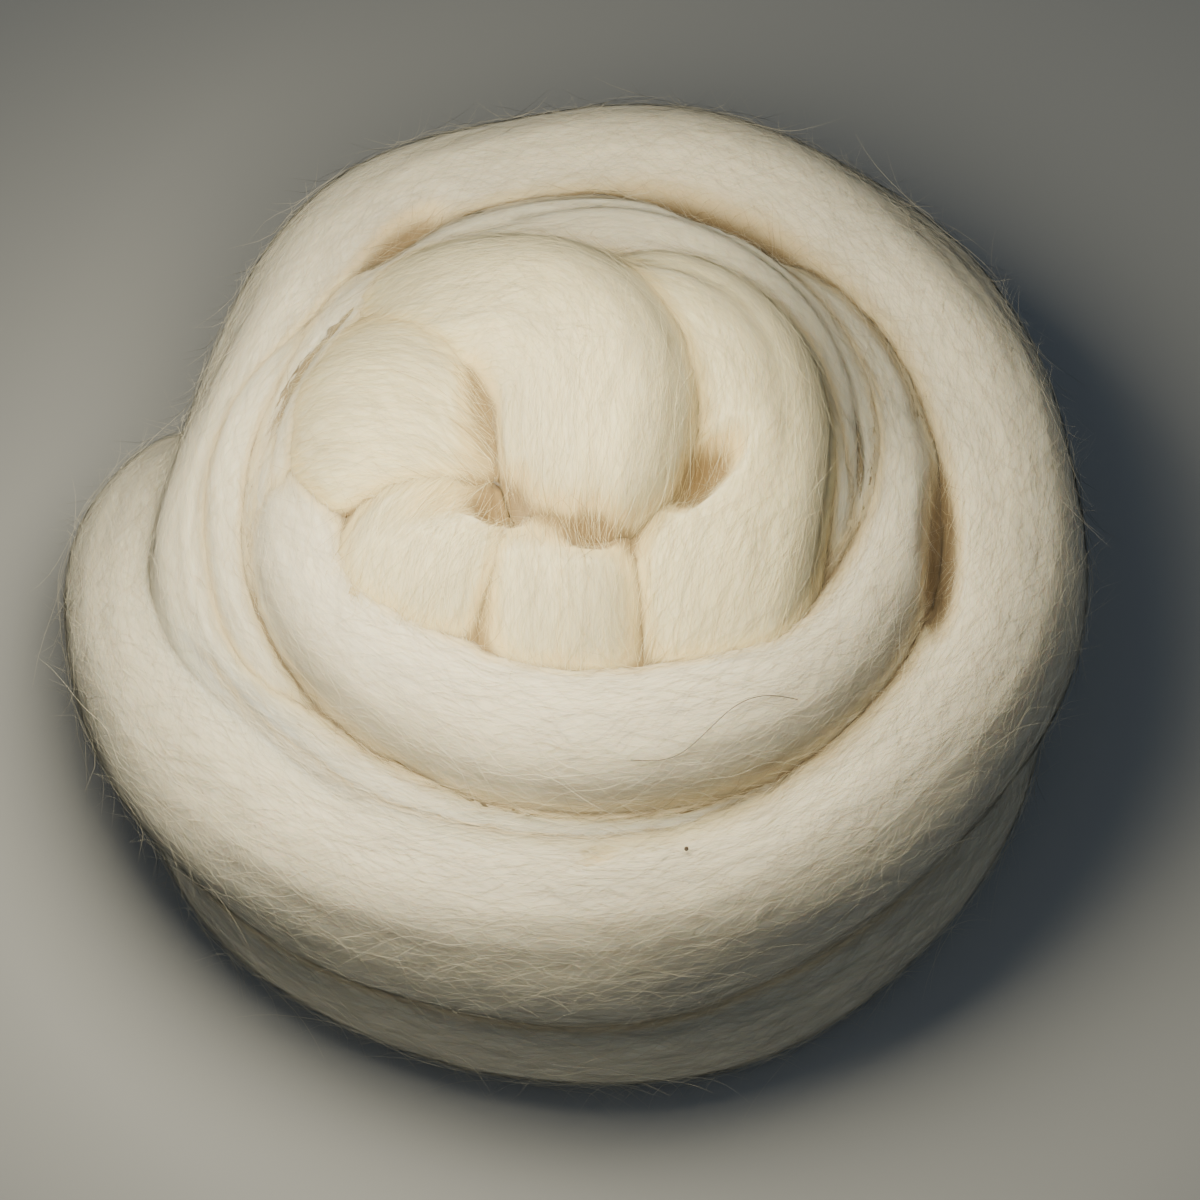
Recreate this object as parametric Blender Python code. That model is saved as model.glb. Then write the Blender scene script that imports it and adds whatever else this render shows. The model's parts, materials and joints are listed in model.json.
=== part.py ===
"""Combed wool roving wound by hand into a loose, flattened nest.

One length of roving makes the whole nest: a foot coil on the table, a big outer
coil that climbs over it and runs inwards, an inner coil, a collar round the front,
and the last stretch folded over itself as the raised heart of the nest.

The frame is +Z up, in metres, with the origin at the bottom centre of the nest.
"""

import math
from typing import NamedTuple

import bmesh
import bpy
from mathutils import Vector

# Driving sizes
NEST_RADIUS = 0.110  # from the winding axis to the outside of the nest
NEST_HEIGHT = 0.105  # from the table to the top of the heart, before the wool settles
ROVING_WIDTH = 0.040  # the loose roving, laid flat

# How finely the wound form is modelled
SIDES = 24  # points round one section of roving
STEPS_PER_ROW = 8  # sections swept between two rows of a table
END_STEPS = 6  # sections over which an end is rounded off
MERGE_SIZE = 0.0034  # cell in which touching turns become one body
SOFTEN_STEPS = 3
SOFTEN_FACTOR = 0.5
KEPT_FACES = 0.24  # share of the faces kept after merging
TABLE_CUT_DEPTH = 0.04  # height of the block that cuts the flat spot

WOOL_COLOUR = (0.83, 0.79, 0.69, 1.0)
WOOL_ROUGHNESS = 0.9


class Turn(NamedTuple):
    """A section of a coil, placed by its bearing round the winding axis."""

    bearing: float  # degrees anticlockwise from +X
    reach: float  # from the axis to the middle of the section, in nest radii
    height: float  # of the middle of the section, in nest heights
    width: float  # of the section, away from the axis, in roving widths
    thick: float  # of the section, upwards, in roving widths


class Place(NamedTuple):
    """A section of a fold in the heart, placed on the plan of the nest."""

    right: float  # of the winding axis, in nest radii
    back: float  # of the winding axis, in nest radii
    height: float  # of the middle of the section, in nest heights
    width: float  # of the section, in roving widths
    thick: float  # of the section, in roving widths


FOOT_COIL = (
    Turn(-40, 0.70, 0.15, 0.80, 0.80),
    Turn(-15, 0.73, 0.15, 0.95, 0.95),
    Turn(20, 0.75, 0.15, 1.00, 0.95),
    Turn(60, 0.82, 0.17, 1.05, 1.00),
    Turn(100, 0.82, 0.17, 1.05, 1.00),
    Turn(140, 0.70, 0.15, 1.00, 0.95),
    Turn(180, 0.68, 0.15, 1.00, 0.95),
    Turn(215, 0.74, 0.15, 1.00, 0.95),
    Turn(250, 0.76, 0.15, 1.00, 0.95),
    Turn(280, 0.79, 0.16, 1.00, 1.00),
    Turn(310, 0.77, 0.16, 0.95, 1.00),
    Turn(345, 0.74, 0.16, 0.95, 0.95),
    Turn(375, 0.74, 0.18, 0.85, 0.85),
)

OUTER_COIL = (
    Turn(150, 0.78, 0.18, 0.70, 0.70),
    Turn(170, 0.79, 0.25, 1.00, 0.90),
    Turn(195, 0.79, 0.31, 1.00, 1.00),
    Turn(220, 0.79, 0.36, 0.95, 1.00),
    Turn(250, 0.79, 0.39, 0.85, 0.95),
    Turn(280, 0.80, 0.40, 0.80, 0.95),
    Turn(310, 0.78, 0.43, 0.80, 0.95),
    Turn(340, 0.80, 0.46, 0.85, 0.95),
    Turn(370, 0.81, 0.49, 0.80, 0.95),
    Turn(400, 0.84, 0.50, 0.90, 1.00),
    Turn(430, 0.88, 0.50, 0.90, 1.00),
    Turn(455, 0.84, 0.50, 0.85, 1.00),
    Turn(475, 0.81, 0.50, 0.85, 0.95),
    Turn(500, 0.71, 0.49, 0.75, 0.90),
    Turn(520, 0.69, 0.47, 0.60, 0.85),
    Turn(545, 0.70, 0.44, 0.55, 0.80),
    Turn(565, 0.69, 0.42, 0.55, 0.75),
    Turn(590, 0.66, 0.43, 0.55, 0.70),
    Turn(615, 0.64, 0.45, 0.55, 0.70),
    Turn(640, 0.65, 0.45, 0.55, 0.65),
    Turn(665, 0.66, 0.42, 0.50, 0.60),
    Turn(685, 0.64, 0.36, 0.40, 0.50),
)

INNER_COIL = (
    Turn(-50, 0.44, 0.44, 0.50, 0.60),
    Turn(-25, 0.47, 0.54, 0.60, 0.70),
    Turn(5, 0.48, 0.59, 0.60, 0.75),
    Turn(30, 0.51, 0.60, 0.60, 0.75),
    Turn(55, 0.56, 0.59, 0.65, 0.75),
    Turn(80, 0.60, 0.57, 0.75, 0.75),
    Turn(105, 0.60, 0.55, 0.75, 0.75),
    Turn(130, 0.57, 0.55, 0.68, 0.75),
    Turn(155, 0.54, 0.54, 0.62, 0.75),
    Turn(180, 0.54, 0.52, 0.58, 0.70),
    Turn(205, 0.54, 0.48, 0.55, 0.65),
    Turn(230, 0.52, 0.40, 0.45, 0.50),
)

COLLAR = (
    Turn(155, 0.50, 0.46, 0.40, 0.50),
    Turn(180, 0.50, 0.56, 0.55, 0.60),
    Turn(205, 0.50, 0.60, 0.64, 0.68),
    Turn(235, 0.50, 0.61, 0.68, 0.70),
    Turn(265, 0.52, 0.60, 0.70, 0.74),
    Turn(295, 0.54, 0.59, 0.68, 0.75),
    Turn(320, 0.57, 0.58, 0.62, 0.72),
    Turn(345, 0.59, 0.57, 0.52, 0.70),
    Turn(370, 0.61, 0.56, 0.45, 0.65),
    Turn(395, 0.64, 0.55, 0.40, 0.60),
    Turn(420, 0.66, 0.52, 0.36, 0.55),
    Turn(445, 0.67, 0.46, 0.30, 0.45),
)

OUTER_WISP = (
    Turn(125, 0.62, 0.52, 0.20, 0.30),
    Turn(145, 0.63, 0.58, 0.28, 0.36),
    Turn(165, 0.64, 0.58, 0.30, 0.38),
    Turn(185, 0.64, 0.55, 0.30, 0.38),
    Turn(205, 0.64, 0.52, 0.30, 0.36),
    Turn(225, 0.62, 0.48, 0.24, 0.30),
    Turn(240, 0.61, 0.43, 0.18, 0.24),
)

INNER_WISP = (
    Turn(150, 0.56, 0.54, 0.20, 0.30),
    Turn(165, 0.56, 0.58, 0.26, 0.36),
    Turn(185, 0.57, 0.57, 0.28, 0.38),
    Turn(205, 0.58, 0.54, 0.26, 0.36),
    Turn(225, 0.58, 0.49, 0.22, 0.30),
    Turn(245, 0.58, 0.44, 0.18, 0.24),
)

LEFT_FOLD = (
    Place(-0.46, 0.20, 0.50, 1.20, 0.75),
    Place(-0.38, 0.18, 0.62, 1.50, 0.78),
    Place(-0.29, 0.14, 0.67, 1.50, 0.78),
    Place(-0.19, 0.07, 0.67, 1.15, 0.70),
    Place(-0.10, 0.00, 0.58, 0.65, 0.55),
)

NEAR_LEFT_FOLD = (
    Place(-0.12, -0.03, 0.57, 0.50, 0.50),
    Place(-0.19, -0.11, 0.67, 0.88, 0.56),
    Place(-0.245, -0.20, 0.69, 1.02, 0.60),
    Place(-0.275, -0.30, 0.62, 1.02, 0.60),
    Place(-0.29, -0.41, 0.46, 0.90, 0.50),
)

FRONT_FOLD = (
    Place(-0.03, -0.06, 0.57, 0.65, 0.50),
    Place(-0.03, -0.17, 0.68, 0.86, 0.56),
    Place(-0.025, -0.28, 0.69, 0.92, 0.60),
    Place(-0.02, -0.39, 0.61, 0.92, 0.60),
    Place(-0.01, -0.49, 0.46, 0.85, 0.50),
)

RIGHT_FOLD = (
    Place(-0.04, 0.36, 0.58, 0.80, 0.60),
    Place(0.13, 0.32, 0.73, 0.95, 0.70),
    Place(0.26, 0.20, 0.77, 0.95, 0.72),
    Place(0.31, 0.06, 0.75, 0.92, 0.70),
    Place(0.29, -0.09, 0.72, 0.98, 0.65),
    Place(0.25, -0.23, 0.69, 1.05, 0.62),
    Place(0.21, -0.36, 0.60, 1.00, 0.60),
    Place(0.18, -0.47, 0.46, 0.85, 0.50),
)

TOP_FOLD = (
    Place(-0.40, 0.34, 0.52, 1.00, 0.60),
    Place(-0.24, 0.36, 0.68, 1.15, 0.70),
    Place(-0.06, 0.30, 0.77, 1.10, 0.76),
    Place(0.04, 0.15, 0.81, 1.05, 0.78),
    Place(0.05, -0.01, 0.80, 1.00, 0.78),
    Place(0.04, -0.14, 0.70, 0.78, 0.64),
)

COILS = (FOOT_COIL, OUTER_COIL, INNER_COIL, COLLAR, OUTER_WISP, INNER_WISP)
FOLDS = (LEFT_FOLD, NEAR_LEFT_FOLD, FRONT_FOLD, RIGHT_FOLD, TOP_FOLD)

# The turns packed out of sight under the heart, as one flattened ball
PACKED_RADIUS = 0.80  # in nest radii
PACKED_MIDDLE = 0.24  # in nest heights
PACKED_HALF_HEIGHT = 0.38  # in nest heights
PACKED_SEGMENTS = 32
PACKED_RINGS = 16


class Section(NamedTuple):
    """A section of roving in metres: its middle, its half sizes and the way it widens."""

    middle: Vector
    half_width: float
    half_thick: float
    widens: Vector


def clear_scene():
    """Remove whatever the scene holds."""
    for other in list(bpy.data.objects):
        bpy.data.objects.remove(other, do_unlink=True)


def wool_material():
    """Natural undyed wool."""
    material = bpy.data.materials.new("wool")
    material.use_nodes = True
    shader = material.node_tree.nodes["Principled BSDF"]
    shader.inputs["Base Color"].default_value = WOOL_COLOUR
    shader.inputs["Roughness"].default_value = WOOL_ROUGHNESS
    shader.inputs["Metallic"].default_value = 0.0
    return material


def turn_section(row):
    """The section that a row of a coil's table describes."""
    bearing = math.radians(row.bearing)
    outwards = Vector((math.cos(bearing), math.sin(bearing), 0.0))
    middle = outwards * row.reach * NEST_RADIUS
    middle.z = row.height * NEST_HEIGHT
    return Section(middle, row.width * ROVING_WIDTH / 2, row.thick * ROVING_WIDTH / 2, outwards)


def fold_section(row, before, after):
    """The section that a row of a fold's table describes, widening across the fold's way."""
    middle = Vector((row.right * NEST_RADIUS, row.back * NEST_RADIUS, row.height * NEST_HEIGHT))
    sideways = Vector((after.back - before.back, before.right - after.right, 0.0)).normalized()
    return Section(middle, row.width * ROVING_WIDTH / 2, row.thick * ROVING_WIDTH / 2, sideways)


def fold_sections(rows):
    """The sections of a fold, in order."""
    before = rows[:1] + rows[:-1]
    after = rows[1:] + rows[-1:]
    return [fold_section(*near) for near in zip(rows, before, after)]


def eased(before, start, end, after, share):
    """A value between start and end on a smooth curve through all four."""
    slope_in = (end - before) * 0.5
    slope_out = (after - start) * 0.5
    cube = share ** 3
    square = share ** 2
    first = start * (2 * cube - 3 * square + 1) + slope_in * (cube - 2 * square + share)
    return first + end * (3 * square - 2 * cube) + slope_out * (cube - square)


def eased_rows(rows):
    """Rows of a table with smooth steps worked out between them."""
    fine = []
    for number in range(len(rows) - 1):
        around = [rows[max(number - 1, 0)], rows[number], rows[number + 1]]
        around.append(rows[min(number + 2, len(rows) - 1)])
        for step in range(STEPS_PER_ROW):
            share = step / STEPS_PER_ROW
            values = (eased(*column, share) for column in zip(*around))
            fine.append(type(rows[0])(*values))
    return fine + [rows[-1]]


def rounding(number, count):
    """How much of its full size a section has near a rounded end."""
    from_end = min(number, count - 1 - number)
    share = min((from_end + 0.5) / END_STEPS, 1.0)
    return math.sqrt(1.0 - (1.0 - share) ** 2)


def sweep(mesh, sections):
    """Add one closed length of roving, swept through the sections, to the mesh."""
    rings = []
    count = len(sections)
    for number, section in enumerate(sections):
        ahead = sections[min(number + 1, count - 1)].middle
        behind = sections[max(number - 1, 0)].middle
        forwards = (ahead - behind).normalized()
        outwards = (section.widens - forwards * section.widens.dot(forwards)).normalized()
        upwards = forwards.cross(outwards)
        size = rounding(number, count)
        ring = []
        for side in range(SIDES):
            angle = math.tau * side / SIDES
            across = outwards * math.cos(angle) * section.half_width * size
            over = upwards * math.sin(angle) * section.half_thick * size
            ring.append(mesh.verts.new(section.middle + across + over))
        rings.append(ring)
    for ring, following in zip(rings, rings[1:]):
        for side in range(SIDES):
            other = (side + 1) % SIDES
            mesh.faces.new((ring[side], ring[other], following[other], following[side]))
    mesh.faces.new(rings[0][::-1])
    mesh.faces.new(rings[-1])


def add_packed_turns(mesh):
    """Add the flattened ball of turns that lies under the heart."""
    segments, rings = PACKED_SEGMENTS, PACKED_RINGS
    made = bmesh.ops.create_uvsphere(mesh, u_segments=segments, v_segments=rings, radius=1.0)
    ball = made["verts"]
    across = PACKED_RADIUS * NEST_RADIUS
    size = Vector((across, across, PACKED_HALF_HEIGHT * NEST_HEIGHT))
    bmesh.ops.scale(mesh, vec=size, verts=ball)
    bmesh.ops.translate(mesh, vec=(0.0, 0.0, PACKED_MIDDLE * NEST_HEIGHT), verts=ball)


def centre_on_plan(mesh):
    """Move the nest so that the origin is under the middle of its outline."""
    places = [vertex.co for vertex in mesh.verts]
    middle_x = (max(p.x for p in places) + min(p.x for p in places)) / 2
    middle_y = (max(p.y for p in places) + min(p.y for p in places)) / 2
    bmesh.ops.translate(mesh, vec=(-middle_x, -middle_y, 0.0), verts=mesh.verts)


def wound_mesh():
    """All the turns and folds as overlapping closed lengths in one mesh."""
    mesh = bmesh.new()
    for rows in COILS:
        sweep(mesh, [turn_section(row) for row in eased_rows(rows)])
    for rows in FOLDS:
        sweep(mesh, fold_sections(eased_rows(rows)))
    add_packed_turns(mesh)
    centre_on_plan(mesh)
    bmesh.ops.recalc_face_normals(mesh, faces=mesh.faces)
    data = bpy.data.meshes.new("roving")
    mesh.to_mesh(data)
    mesh.free()
    return data


def table_cutter():
    """The block below the table, which gives the nest its flat spot."""
    span = NEST_RADIUS * 4
    mesh = bmesh.new()
    bmesh.ops.create_cube(mesh, size=1.0)
    bmesh.ops.scale(mesh, vec=(span, span, TABLE_CUT_DEPTH), verts=mesh.verts)
    bmesh.ops.translate(mesh, vec=(0.0, 0.0, -TABLE_CUT_DEPTH / 2), verts=mesh.verts)
    data = bpy.data.meshes.new("table_cutter")
    mesh.to_mesh(data)
    mesh.free()
    cutter = bpy.data.objects.new("table_cutter", data)
    cutter.hide_render = True
    cutter.display_type = "WIRE"
    bpy.context.scene.collection.objects.link(cutter)
    return cutter


def build_roving():
    """The nest as one solid, its turns merged where they touch."""
    roving = bpy.data.objects.new("roving", wound_mesh())
    bpy.context.scene.collection.objects.link(roving)
    roving.data.materials.append(wool_material())
    merge = roving.modifiers.new("merge_turns", "REMESH")
    merge.mode = "VOXEL"
    merge.voxel_size = MERGE_SIZE
    merge.use_smooth_shade = True
    soften = roving.modifiers.new("soften", "SMOOTH")
    soften.factor = SOFTEN_FACTOR
    soften.iterations = SOFTEN_STEPS
    thin_out = roving.modifiers.new("thin_out", "DECIMATE")
    thin_out.ratio = KEPT_FACES
    flat_spot = roving.modifiers.new("flat_spot", "BOOLEAN")
    flat_spot.operation = "DIFFERENCE"
    flat_spot.object = table_cutter()
    return roving


clear_scene()
build_roving()
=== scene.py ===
"""Natural combed wool roving, wound by hand into a loose nest: its finished look.

The nest is one length of roving. Each stretch of it, coil or fold, is swept as its own soft
form, with the bundles that the comb leaves in it. A coat of fibres is then laid along every
stretch, with a haze of short fuzz over it and a few long strays. Where the turns close over
one another the colour is painted warmer and darker: partly the wool's own tan in its folds,
partly painted bounce light and painted shade.
"""

import json
import logging
import math
from collections.abc import Iterable, Sequence
from dataclasses import dataclass, field
from enum import Enum
from typing import NamedTuple

import bmesh
import bpy
import numpy as np
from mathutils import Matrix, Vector, noise
from mathutils.bvhtree import BVHTree

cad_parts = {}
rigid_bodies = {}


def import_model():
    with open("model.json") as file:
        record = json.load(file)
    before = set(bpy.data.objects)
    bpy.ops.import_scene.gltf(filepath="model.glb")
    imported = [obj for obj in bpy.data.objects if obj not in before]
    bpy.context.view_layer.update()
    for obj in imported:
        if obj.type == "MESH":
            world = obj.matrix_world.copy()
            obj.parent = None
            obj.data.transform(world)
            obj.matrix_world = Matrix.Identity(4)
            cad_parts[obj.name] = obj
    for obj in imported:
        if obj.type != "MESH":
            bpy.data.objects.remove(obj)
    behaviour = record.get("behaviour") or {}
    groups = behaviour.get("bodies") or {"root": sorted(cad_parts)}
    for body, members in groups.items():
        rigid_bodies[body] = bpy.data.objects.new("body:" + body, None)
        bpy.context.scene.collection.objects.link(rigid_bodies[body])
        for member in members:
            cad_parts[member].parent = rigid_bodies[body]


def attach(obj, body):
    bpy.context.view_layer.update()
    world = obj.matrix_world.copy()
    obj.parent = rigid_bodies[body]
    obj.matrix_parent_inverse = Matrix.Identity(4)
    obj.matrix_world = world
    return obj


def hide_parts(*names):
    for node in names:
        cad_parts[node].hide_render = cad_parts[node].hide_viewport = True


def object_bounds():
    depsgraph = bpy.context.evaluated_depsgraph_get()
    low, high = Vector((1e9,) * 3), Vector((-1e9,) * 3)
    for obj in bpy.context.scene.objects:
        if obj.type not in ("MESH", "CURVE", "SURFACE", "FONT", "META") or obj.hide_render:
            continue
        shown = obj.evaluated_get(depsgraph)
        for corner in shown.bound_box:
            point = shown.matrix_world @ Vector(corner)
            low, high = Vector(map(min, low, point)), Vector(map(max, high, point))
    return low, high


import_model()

log = logging.getLogger("wool_nest")

CAD_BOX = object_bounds()
NEST_NODE = "roving"
BODY = "root"
LOWEST = 0.0002  # metres above the table, below which no fibre or surface goes
END_ROUNDING = 0.9  # length of a stretch's rounded end, as a share of its half thickness
ENDS_BARE = 0.003  # share of a stretch's length at either end on which no fibre lies
TONE_SPREAD = 0.8  # difference of tone between the palest and the greyest fibre
WHITE = (1.0, 1.0, 1.0, 1.0)
HEART_TINT = (1.0, 0.97, 0.82, 1.0)  # the heart is a little creamier than the outer turns

# Names of the marks that a surface carries for its fibres and its finish
PLACE_ON_ROVING = "place_on_roving"  # UV: share of the length, share of the girth
LAID_LENGTH = "laid_length"  # UV: the same in metres
ALONG = "along"
# how closed in a place is; it paints the crease shade and warmth into the colour
HOLLOW = "hollow"
OPEN = "open"
BURIED = "buried"
TONE = "tone"
FACING = "facing"


class Turn(NamedTuple):
    """A section of a coil, placed by its bearing round the winding axis."""

    bearing: float  # degrees anticlockwise from +X
    reach: float  # from the axis to the middle of the section, in nest radii
    height: float  # of the middle of the section, in nest heights
    width: float  # of the section, away from the axis, in roving widths
    thick: float  # of the section, upwards, in roving widths


class Place(NamedTuple):
    """A section of a fold in the heart, placed on the plan of the nest."""

    right: float  # of the winding axis, in nest radii
    back: float  # of the winding axis, in nest radii
    height: float  # of the middle of the section, in nest heights
    width: float  # of the section, in roving widths
    thick: float  # of the section, in roving widths


class Dent(NamedTuple):
    """A long hollow where the wool is drawn in, placed on the plan of the nest."""

    right: float  # of the winding axis, in nest radii
    back: float  # of the winding axis, in nest radii
    turn: float  # of its length, in degrees anticlockwise from +X
    length: float  # in nest radii
    width: float  # in nest radii
    depth: float  # in nest radii


class Hair(NamedTuple):
    """A hair that lies on the wool in one slight wave, placed on the plan of the nest."""

    right: float  # of the winding axis, in nest radii
    back: float  # of the winding axis, in nest radii
    turn: float  # of its length, in degrees anticlockwise from +X
    length: float  # in nest radii
    wave: float  # its swing to either side, in nest radii


PACKED_TURNS = (
    Turn(0, 0.26, 0.30, 1.30, 1.40),
    Turn(90, 0.30, 0.31, 1.40, 1.45),
    Turn(180, 0.32, 0.31, 1.40, 1.45),
    Turn(270, 0.32, 0.31, 1.40, 1.45),
    Turn(360, 0.32, 0.31, 1.40, 1.45),
    Turn(450, 0.30, 0.30, 1.30, 1.40),
)

FOOT_COIL = (
    Turn(-40, 0.70, 0.15, 0.80, 0.80),
    Turn(-15, 0.73, 0.15, 0.95, 0.95),
    Turn(20, 0.75, 0.15, 1.00, 0.95),
    Turn(60, 0.82, 0.17, 1.05, 1.00),
    Turn(100, 0.82, 0.17, 1.05, 1.00),
    Turn(140, 0.70, 0.15, 1.00, 0.95),
    Turn(180, 0.68, 0.15, 1.00, 0.95),
    Turn(215, 0.74, 0.15, 1.00, 0.95),
    Turn(250, 0.76, 0.15, 1.00, 0.95),
    Turn(280, 0.79, 0.16, 1.00, 1.00),
    Turn(310, 0.77, 0.16, 0.95, 1.00),
    Turn(345, 0.74, 0.16, 0.95, 0.95),
    Turn(375, 0.74, 0.18, 0.85, 0.85),
)

OUTER_COIL = (
    Turn(150, 0.78, 0.18, 0.70, 0.70),
    Turn(170, 0.79, 0.25, 1.00, 0.90),
    Turn(195, 0.79, 0.31, 1.00, 1.00),
    Turn(220, 0.79, 0.36, 0.95, 1.00),
    Turn(250, 0.79, 0.39, 0.85, 0.95),
    Turn(280, 0.80, 0.40, 0.80, 0.95),
    Turn(310, 0.78, 0.43, 0.80, 0.95),
    Turn(340, 0.80, 0.46, 0.85, 0.95),
    Turn(370, 0.81, 0.49, 0.80, 0.95),
    Turn(400, 0.84, 0.50, 0.90, 1.00),
    Turn(430, 0.88, 0.50, 0.90, 1.00),
    Turn(455, 0.84, 0.50, 0.85, 1.00),
    Turn(475, 0.81, 0.50, 0.85, 0.95),
    Turn(500, 0.71, 0.49, 0.75, 0.90),
    Turn(520, 0.69, 0.47, 0.60, 0.85),
    Turn(545, 0.70, 0.44, 0.55, 0.80),
    Turn(565, 0.69, 0.42, 0.55, 0.75),
    Turn(590, 0.66, 0.43, 0.55, 0.70),
    Turn(615, 0.64, 0.45, 0.55, 0.70),
    Turn(640, 0.65, 0.45, 0.55, 0.65),
    Turn(665, 0.66, 0.42, 0.50, 0.60),
    Turn(685, 0.64, 0.36, 0.40, 0.50),
)

INNER_COIL = (
    Turn(-50, 0.44, 0.44, 0.50, 0.60),
    Turn(-25, 0.47, 0.54, 0.60, 0.70),
    Turn(5, 0.48, 0.59, 0.60, 0.75),
    Turn(30, 0.51, 0.60, 0.60, 0.75),
    Turn(55, 0.56, 0.59, 0.65, 0.75),
    Turn(80, 0.60, 0.57, 0.75, 0.75),
    Turn(105, 0.60, 0.55, 0.75, 0.75),
    Turn(130, 0.57, 0.55, 0.68, 0.75),
    Turn(155, 0.54, 0.54, 0.62, 0.75),
    Turn(180, 0.54, 0.52, 0.58, 0.70),
    Turn(205, 0.54, 0.48, 0.55, 0.65),
    Turn(230, 0.52, 0.40, 0.45, 0.50),
)

COLLAR = (
    Turn(155, 0.50, 0.46, 0.40, 0.50),
    Turn(180, 0.50, 0.56, 0.55, 0.60),
    Turn(205, 0.50, 0.60, 0.64, 0.68),
    Turn(235, 0.50, 0.61, 0.68, 0.70),
    Turn(265, 0.52, 0.60, 0.70, 0.74),
    Turn(295, 0.54, 0.59, 0.68, 0.75),
    Turn(320, 0.57, 0.58, 0.62, 0.72),
    Turn(345, 0.59, 0.57, 0.52, 0.70),
    Turn(370, 0.61, 0.56, 0.45, 0.65),
    Turn(395, 0.64, 0.55, 0.40, 0.60),
    Turn(420, 0.66, 0.52, 0.36, 0.55),
    Turn(445, 0.67, 0.46, 0.30, 0.45),
)

OUTER_WISP = (
    Turn(125, 0.62, 0.52, 0.20, 0.30),
    Turn(145, 0.63, 0.58, 0.28, 0.36),
    Turn(165, 0.64, 0.58, 0.30, 0.38),
    Turn(185, 0.64, 0.55, 0.30, 0.38),
    Turn(205, 0.64, 0.52, 0.30, 0.36),
    Turn(225, 0.62, 0.48, 0.24, 0.30),
    Turn(240, 0.61, 0.43, 0.18, 0.24),
)

INNER_WISP = (
    Turn(150, 0.56, 0.54, 0.20, 0.30),
    Turn(165, 0.56, 0.58, 0.26, 0.36),
    Turn(185, 0.57, 0.57, 0.28, 0.38),
    Turn(205, 0.58, 0.54, 0.26, 0.36),
    Turn(225, 0.58, 0.49, 0.22, 0.30),
    Turn(245, 0.58, 0.44, 0.18, 0.24),
)

RIGHT_WISP = (
    Turn(-50, 0.58, 0.46, 0.20, 0.26),
    Turn(-25, 0.61, 0.55, 0.26, 0.34),
    Turn(5, 0.61, 0.60, 0.28, 0.36),
    Turn(35, 0.64, 0.60, 0.28, 0.36),
    Turn(60, 0.67, 0.57, 0.24, 0.32),
    Turn(80, 0.68, 0.51, 0.18, 0.24),
)

SHOULDER_WISP = (
    Turn(-38, 0.46, 0.54, 0.20, 0.26),
    Turn(-15, 0.47, 0.64, 0.28, 0.34),
    Turn(10, 0.46, 0.69, 0.30, 0.36),
    Turn(35, 0.47, 0.70, 0.30, 0.36),
    Turn(60, 0.50, 0.67, 0.28, 0.34),
    Turn(85, 0.52, 0.61, 0.22, 0.28),
    Turn(105, 0.54, 0.55, 0.16, 0.22),
)

LEFT_FOLD = (
    Place(-0.46, 0.20, 0.50, 1.20, 0.75),
    Place(-0.38, 0.18, 0.62, 1.50, 0.78),
    Place(-0.29, 0.14, 0.67, 1.50, 0.78),
    Place(-0.19, 0.07, 0.67, 1.15, 0.70),
    Place(-0.10, 0.00, 0.58, 0.65, 0.55),
)

NEAR_LEFT_FOLD = (
    Place(-0.12, -0.03, 0.57, 0.50, 0.50),
    Place(-0.19, -0.11, 0.67, 0.88, 0.56),
    Place(-0.245, -0.20, 0.69, 1.02, 0.60),
    Place(-0.275, -0.30, 0.62, 1.02, 0.60),
    Place(-0.29, -0.41, 0.46, 0.90, 0.50),
)

FRONT_FOLD = (
    Place(-0.03, -0.06, 0.57, 0.65, 0.50),
    Place(-0.03, -0.17, 0.68, 0.86, 0.56),
    Place(-0.025, -0.28, 0.69, 0.92, 0.60),
    Place(-0.02, -0.39, 0.61, 0.92, 0.60),
    Place(-0.01, -0.49, 0.46, 0.85, 0.50),
)

RIGHT_FOLD = (
    Place(-0.04, 0.36, 0.58, 0.80, 0.60),
    Place(0.13, 0.32, 0.73, 0.95, 0.70),
    Place(0.26, 0.20, 0.77, 0.95, 0.72),
    Place(0.31, 0.06, 0.75, 0.92, 0.70),
    Place(0.29, -0.09, 0.72, 0.98, 0.65),
    Place(0.25, -0.23, 0.69, 1.05, 0.62),
    Place(0.21, -0.36, 0.60, 1.00, 0.60),
    Place(0.18, -0.47, 0.46, 0.85, 0.50),
)

TOP_FOLD = (
    Place(-0.40, 0.34, 0.52, 1.00, 0.60),
    Place(-0.24, 0.36, 0.68, 1.15, 0.70),
    Place(-0.06, 0.30, 0.77, 1.10, 0.76),
    Place(0.04, 0.15, 0.81, 1.05, 0.78),
    Place(0.05, -0.01, 0.80, 1.00, 0.78),
    Place(0.04, -0.14, 0.70, 0.78, 0.64),
)

# Each dent is pressed into the wool and also carries painted shade, added through the hollow mark
DENTS = (
    # The mouth in the heart, with the grooves that run from it
    Dent(-0.13, -0.11, 0, 0.15, 0.11, 0.080),
    Dent(-0.24, -0.12, 22, 0.34, 0.12, 0.022),
    Dent(-0.01, -0.18, -6, 0.36, 0.15, 0.018),
    Dent(0.03, -0.19, 0, 0.11, 0.07, 0.040),
    Dent(0.25, -0.07, 48, 0.24, 0.10, 0.070),
    # The left edge of the top fold, and the grooves between the folds at the front
    Dent(-0.175, 0.07, 90, 0.34, 0.11, 0.026),
    Dent(-0.150, -0.34, 88, 0.26, 0.08, 0.016),
    Dent(0.105, -0.34, 97, 0.30, 0.08, 0.012),
    # The slit and the crease between the outer and the inner coil
    Dent(0.27, 0.67, -26, 0.44, 0.12, 0.090),
    Dent(-0.34, 0.62, 48, 0.30, 0.11, 0.050),
    Dent(0.675, -0.12, 88, 0.46, 0.10, 0.050),
    # The curl in the front groove
    Dent(0.04, -0.745, 30, 0.12, 0.05, 0.020),
)

DARK_HAIR = Hair(0.25, -0.56, 22, 0.32, 0.02)  # on the collar
SEED_SPECK = (0.20, -0.74)  # right and back of the winding axis, in nest radii


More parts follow.
